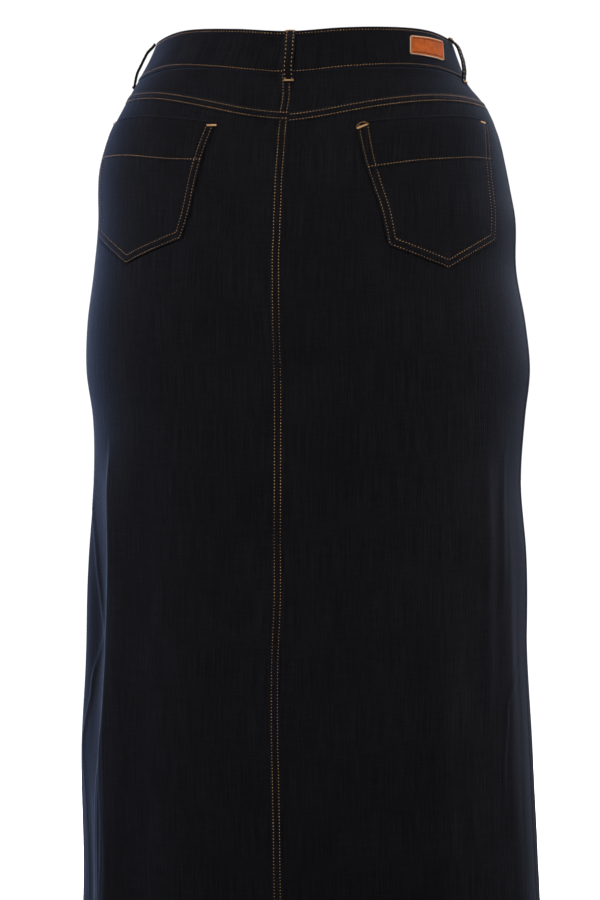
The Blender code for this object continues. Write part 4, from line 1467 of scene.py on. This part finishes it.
def makeButton():
    # two-part shank button: ringed cap on a short tube
    deselect()
    bpy.ops.mesh.primitive_circle_add(
        vertices=64, radius=buttonLook["radius"], fill_type="NGON", location=(0.0, 0.0, 0.0)
    )
    piece = bpy.context.object
    piece.name = "buttonBrass"
    piece.data.name = "buttonBrass"
    bpy.ops.object.mode_set(mode="EDIT")
    bpy.ops.mesh.select_mode(type="FACE")
    bpy.ops.mesh.select_all(action="SELECT")
    bpy.ops.mesh.extrude_region_move(
        TRANSFORM_OT_translate={"value": (0.0, 0.0, buttonLook["wall"])}
    )
    for inset, rise in buttonLook["rings"]:
        bpy.ops.mesh.inset(thickness=inset, depth=0.0)
        bpy.ops.transform.translate(value=(0.0, 0.0, rise))
    bpy.ops.mesh.select_all(action="DESELECT")
    bpy.ops.object.mode_set(mode="OBJECT")
    lowest = min(piece.data.polygons, key=lambda face: (face.center.z, -face.area))
    lowest.select = True
    bpy.ops.object.mode_set(mode="EDIT")
    bpy.ops.mesh.inset(thickness=buttonLook["radius"] - buttonLook["shankRadius"], depth=0.0)
    bpy.ops.mesh.extrude_region_move(
        TRANSFORM_OT_translate={"value": (0.0, 0.0, -buttonLook["shankHeight"])}
    )
    bpy.ops.mesh.select_all(action="SELECT")
    bpy.ops.mesh.normals_make_consistent(inside=False)
    bpy.ops.object.mode_set(mode="OBJECT")
    applyModifier(
        piece, "BEVEL", width=0.00016, segments=2, limit_method="ANGLE",
        angle_limit=math.radians(30.0),
    )
    angle = np.array([buttonLook["angle"]])
    height = heightAt(angle, np.array([buttonLook["down"]]))
    base, out = skin(angle, height)
    ahead, _ = skin(angle + 1.0, height)
    out = Vector(out[0])
    along = Vector(unit(ahead - base)[0])
    up = out.cross(along).normalized()
    along = up.cross(out).normalized()
    rise = band["proud"] + band["lapLift"] + buttonLook["gap"] + buttonLook["shankHeight"]
    foot = Vector(base[0]) + out * rise
    place = Matrix((along, up, out)).transposed().to_4x4()
    place.translation = foot
    piece.data.transform(place)
    piece.data.materials.append(brass)
    pick(piece)
    bpy.ops.object.shade_smooth_by_angle(angle=math.radians(40.0))
    finishPiece(piece, "button")


makeButton()
print("button is set")


# ---- stage, light and camera
stage = {
    "floor": -1.03,
    "floorRadius": 60.0,
    "backdrop": 1.02,
    "fill": 0.06,
    "floorColour": "#fbfbfb",
    "floorGlow": 1.0,  # the floor is a lit white table
    "floorBounce": "#262626",  # what it gives back to the skirt, as if screened off
    "boxSize": 1.0,
}
camera = {
    "azimuth": 10.5,
    "distance": 3.54,
    "height": -0.4268,
    "aside": 0.0033,
    "lens": 128.0,
    "sensor": 36.0,
}
# big soft boxes: place, aim, power, colour, spread in degrees (less than 180 where a
# honeycomb grid narrows the light, which also concentrates its power)
softBoxes = {
    "keyBox": ((0.0, -1.8, 2.2), (0.0, 0.0, -0.2), 44.0, "#f8f4f9", 180.0),
    "sideKeyBox": ((-0.7, -1.9, 1.35), (0.0, 0.0, -0.15), 8.0, "#fffafa", 180.0),
    "lowKeyBox": ((0.3, -2.5, -0.42), (0.0, 0.0, -0.44), 0.57, "#fff6f8", 28.0),
    "leftBox": ((-2.4, -0.6, 0.2), (0.0, 0.0, -0.4), 40.0, "#f4f0fc", 180.0),
    "rightBox": ((2.4, -0.6, -0.15), (0.2, 0.0, -0.47), 3.8, "#fff8ff", 46.0),
    "windowBox": ((-2.1, 1.2, -0.2), (0.0, 0.0, -0.6), 22.0, "#6ea6ff", 180.0),
    "rightRimBox": ((1.9, 1.3, 0.5), (0.2, 0.0, -0.25), 1.1, "#cfdfff", 36.0),
    "frontBox": ((-0.46, 2.47, 0.4), (0.0, 0.0, -0.45), 80.0, "#fffaf2", 180.0),
}
overhead = {"strength": 0.4, "angle": 30.0}


def makeStage():
    deselect()
    bpy.ops.mesh.primitive_circle_add(
        vertices=96, radius=stage["floorRadius"], fill_type="TRIFAN",
        location=(0.0, 0.0, stage["floor"]),
    )
    floor = bpy.context.object
    floor.name = "floor"
    white = (1.0, 1.0, 1.0, 1.0)
    values = {"Roughness": 0.9, "Emission Color": white}
    material, tree, shader = startMaterial("paintedFloor", values)
    seen = addNode(tree, "LightPath", {}, "Is Camera Ray")
    linkLook(tree, shader, addMix(tree, stage["floorBounce"], stage["floorColour"], seen))
    glow = addMath(tree, "MULTIPLY", seen, stage["floorGlow"])
    tree.links.new(glow, shader["Emission Strength"])
    floor.data.materials.append(material)
    scene = bpy.context.scene
    world = bpy.data.worlds.new("studio")
    world.use_nodes = True
    tree = world.node_tree
    values = {"Value": addNode(tree, "LightPath", {}, "Is Camera Ray")}
    values.update({"To Min": stage["fill"], "To Max": stage["backdrop"]})
    background = tree.nodes["Background"].inputs
    background["Color"].default_value = white
    tree.links.new(addNode(tree, "MapRange", values), background["Strength"])
    scene.world = world
    scene.view_settings.view_transform = "Standard"
    for name, (place, aim, power, colour, spread) in softBoxes.items():
        light = bpy.data.lights.new(name, "AREA")
        light.shape = "DISK"
        light.size = stage["boxSize"]
        light.spread = math.radians(spread)
        light.energy = power
        light.color = linear(colour)[:3]
        box = bpy.data.objects.new(name, light)
        box.location = place
        box.rotation_euler = (Vector(place) - Vector(aim)).to_track_quat("Z", "Y").to_euler()
        box.visible_camera = False
        scene.collection.objects.link(box)
    sun = bpy.data.lights.new("overheadBox", "SUN")
    sun.energy = overhead["strength"]
    sun.angle = math.radians(overhead["angle"])
    scene.collection.objects.link(bpy.data.objects.new("overheadBox", sun))


def makeCamera():
    turn = math.radians(camera["azimuth"])
    right = Vector((math.cos(turn), math.sin(turn), 0.0))
    behind = Vector((math.sin(turn), -math.cos(turn), 0.0))
    data = bpy.data.cameras.new("camera")
    data.lens = camera["lens"]
    data.sensor_width = camera["sensor"]
    view = bpy.data.objects.new("camera", data)
    view.location = behind * camera["distance"] - right * camera["aside"]
    view.location.z = camera["height"]
    view.rotation_euler = (math.radians(90.0), 0.0, turn)
    bpy.context.scene.collection.objects.link(view)
    bpy.context.scene.camera = view


makeStage()
makeCamera()
print("stage and camera are set")
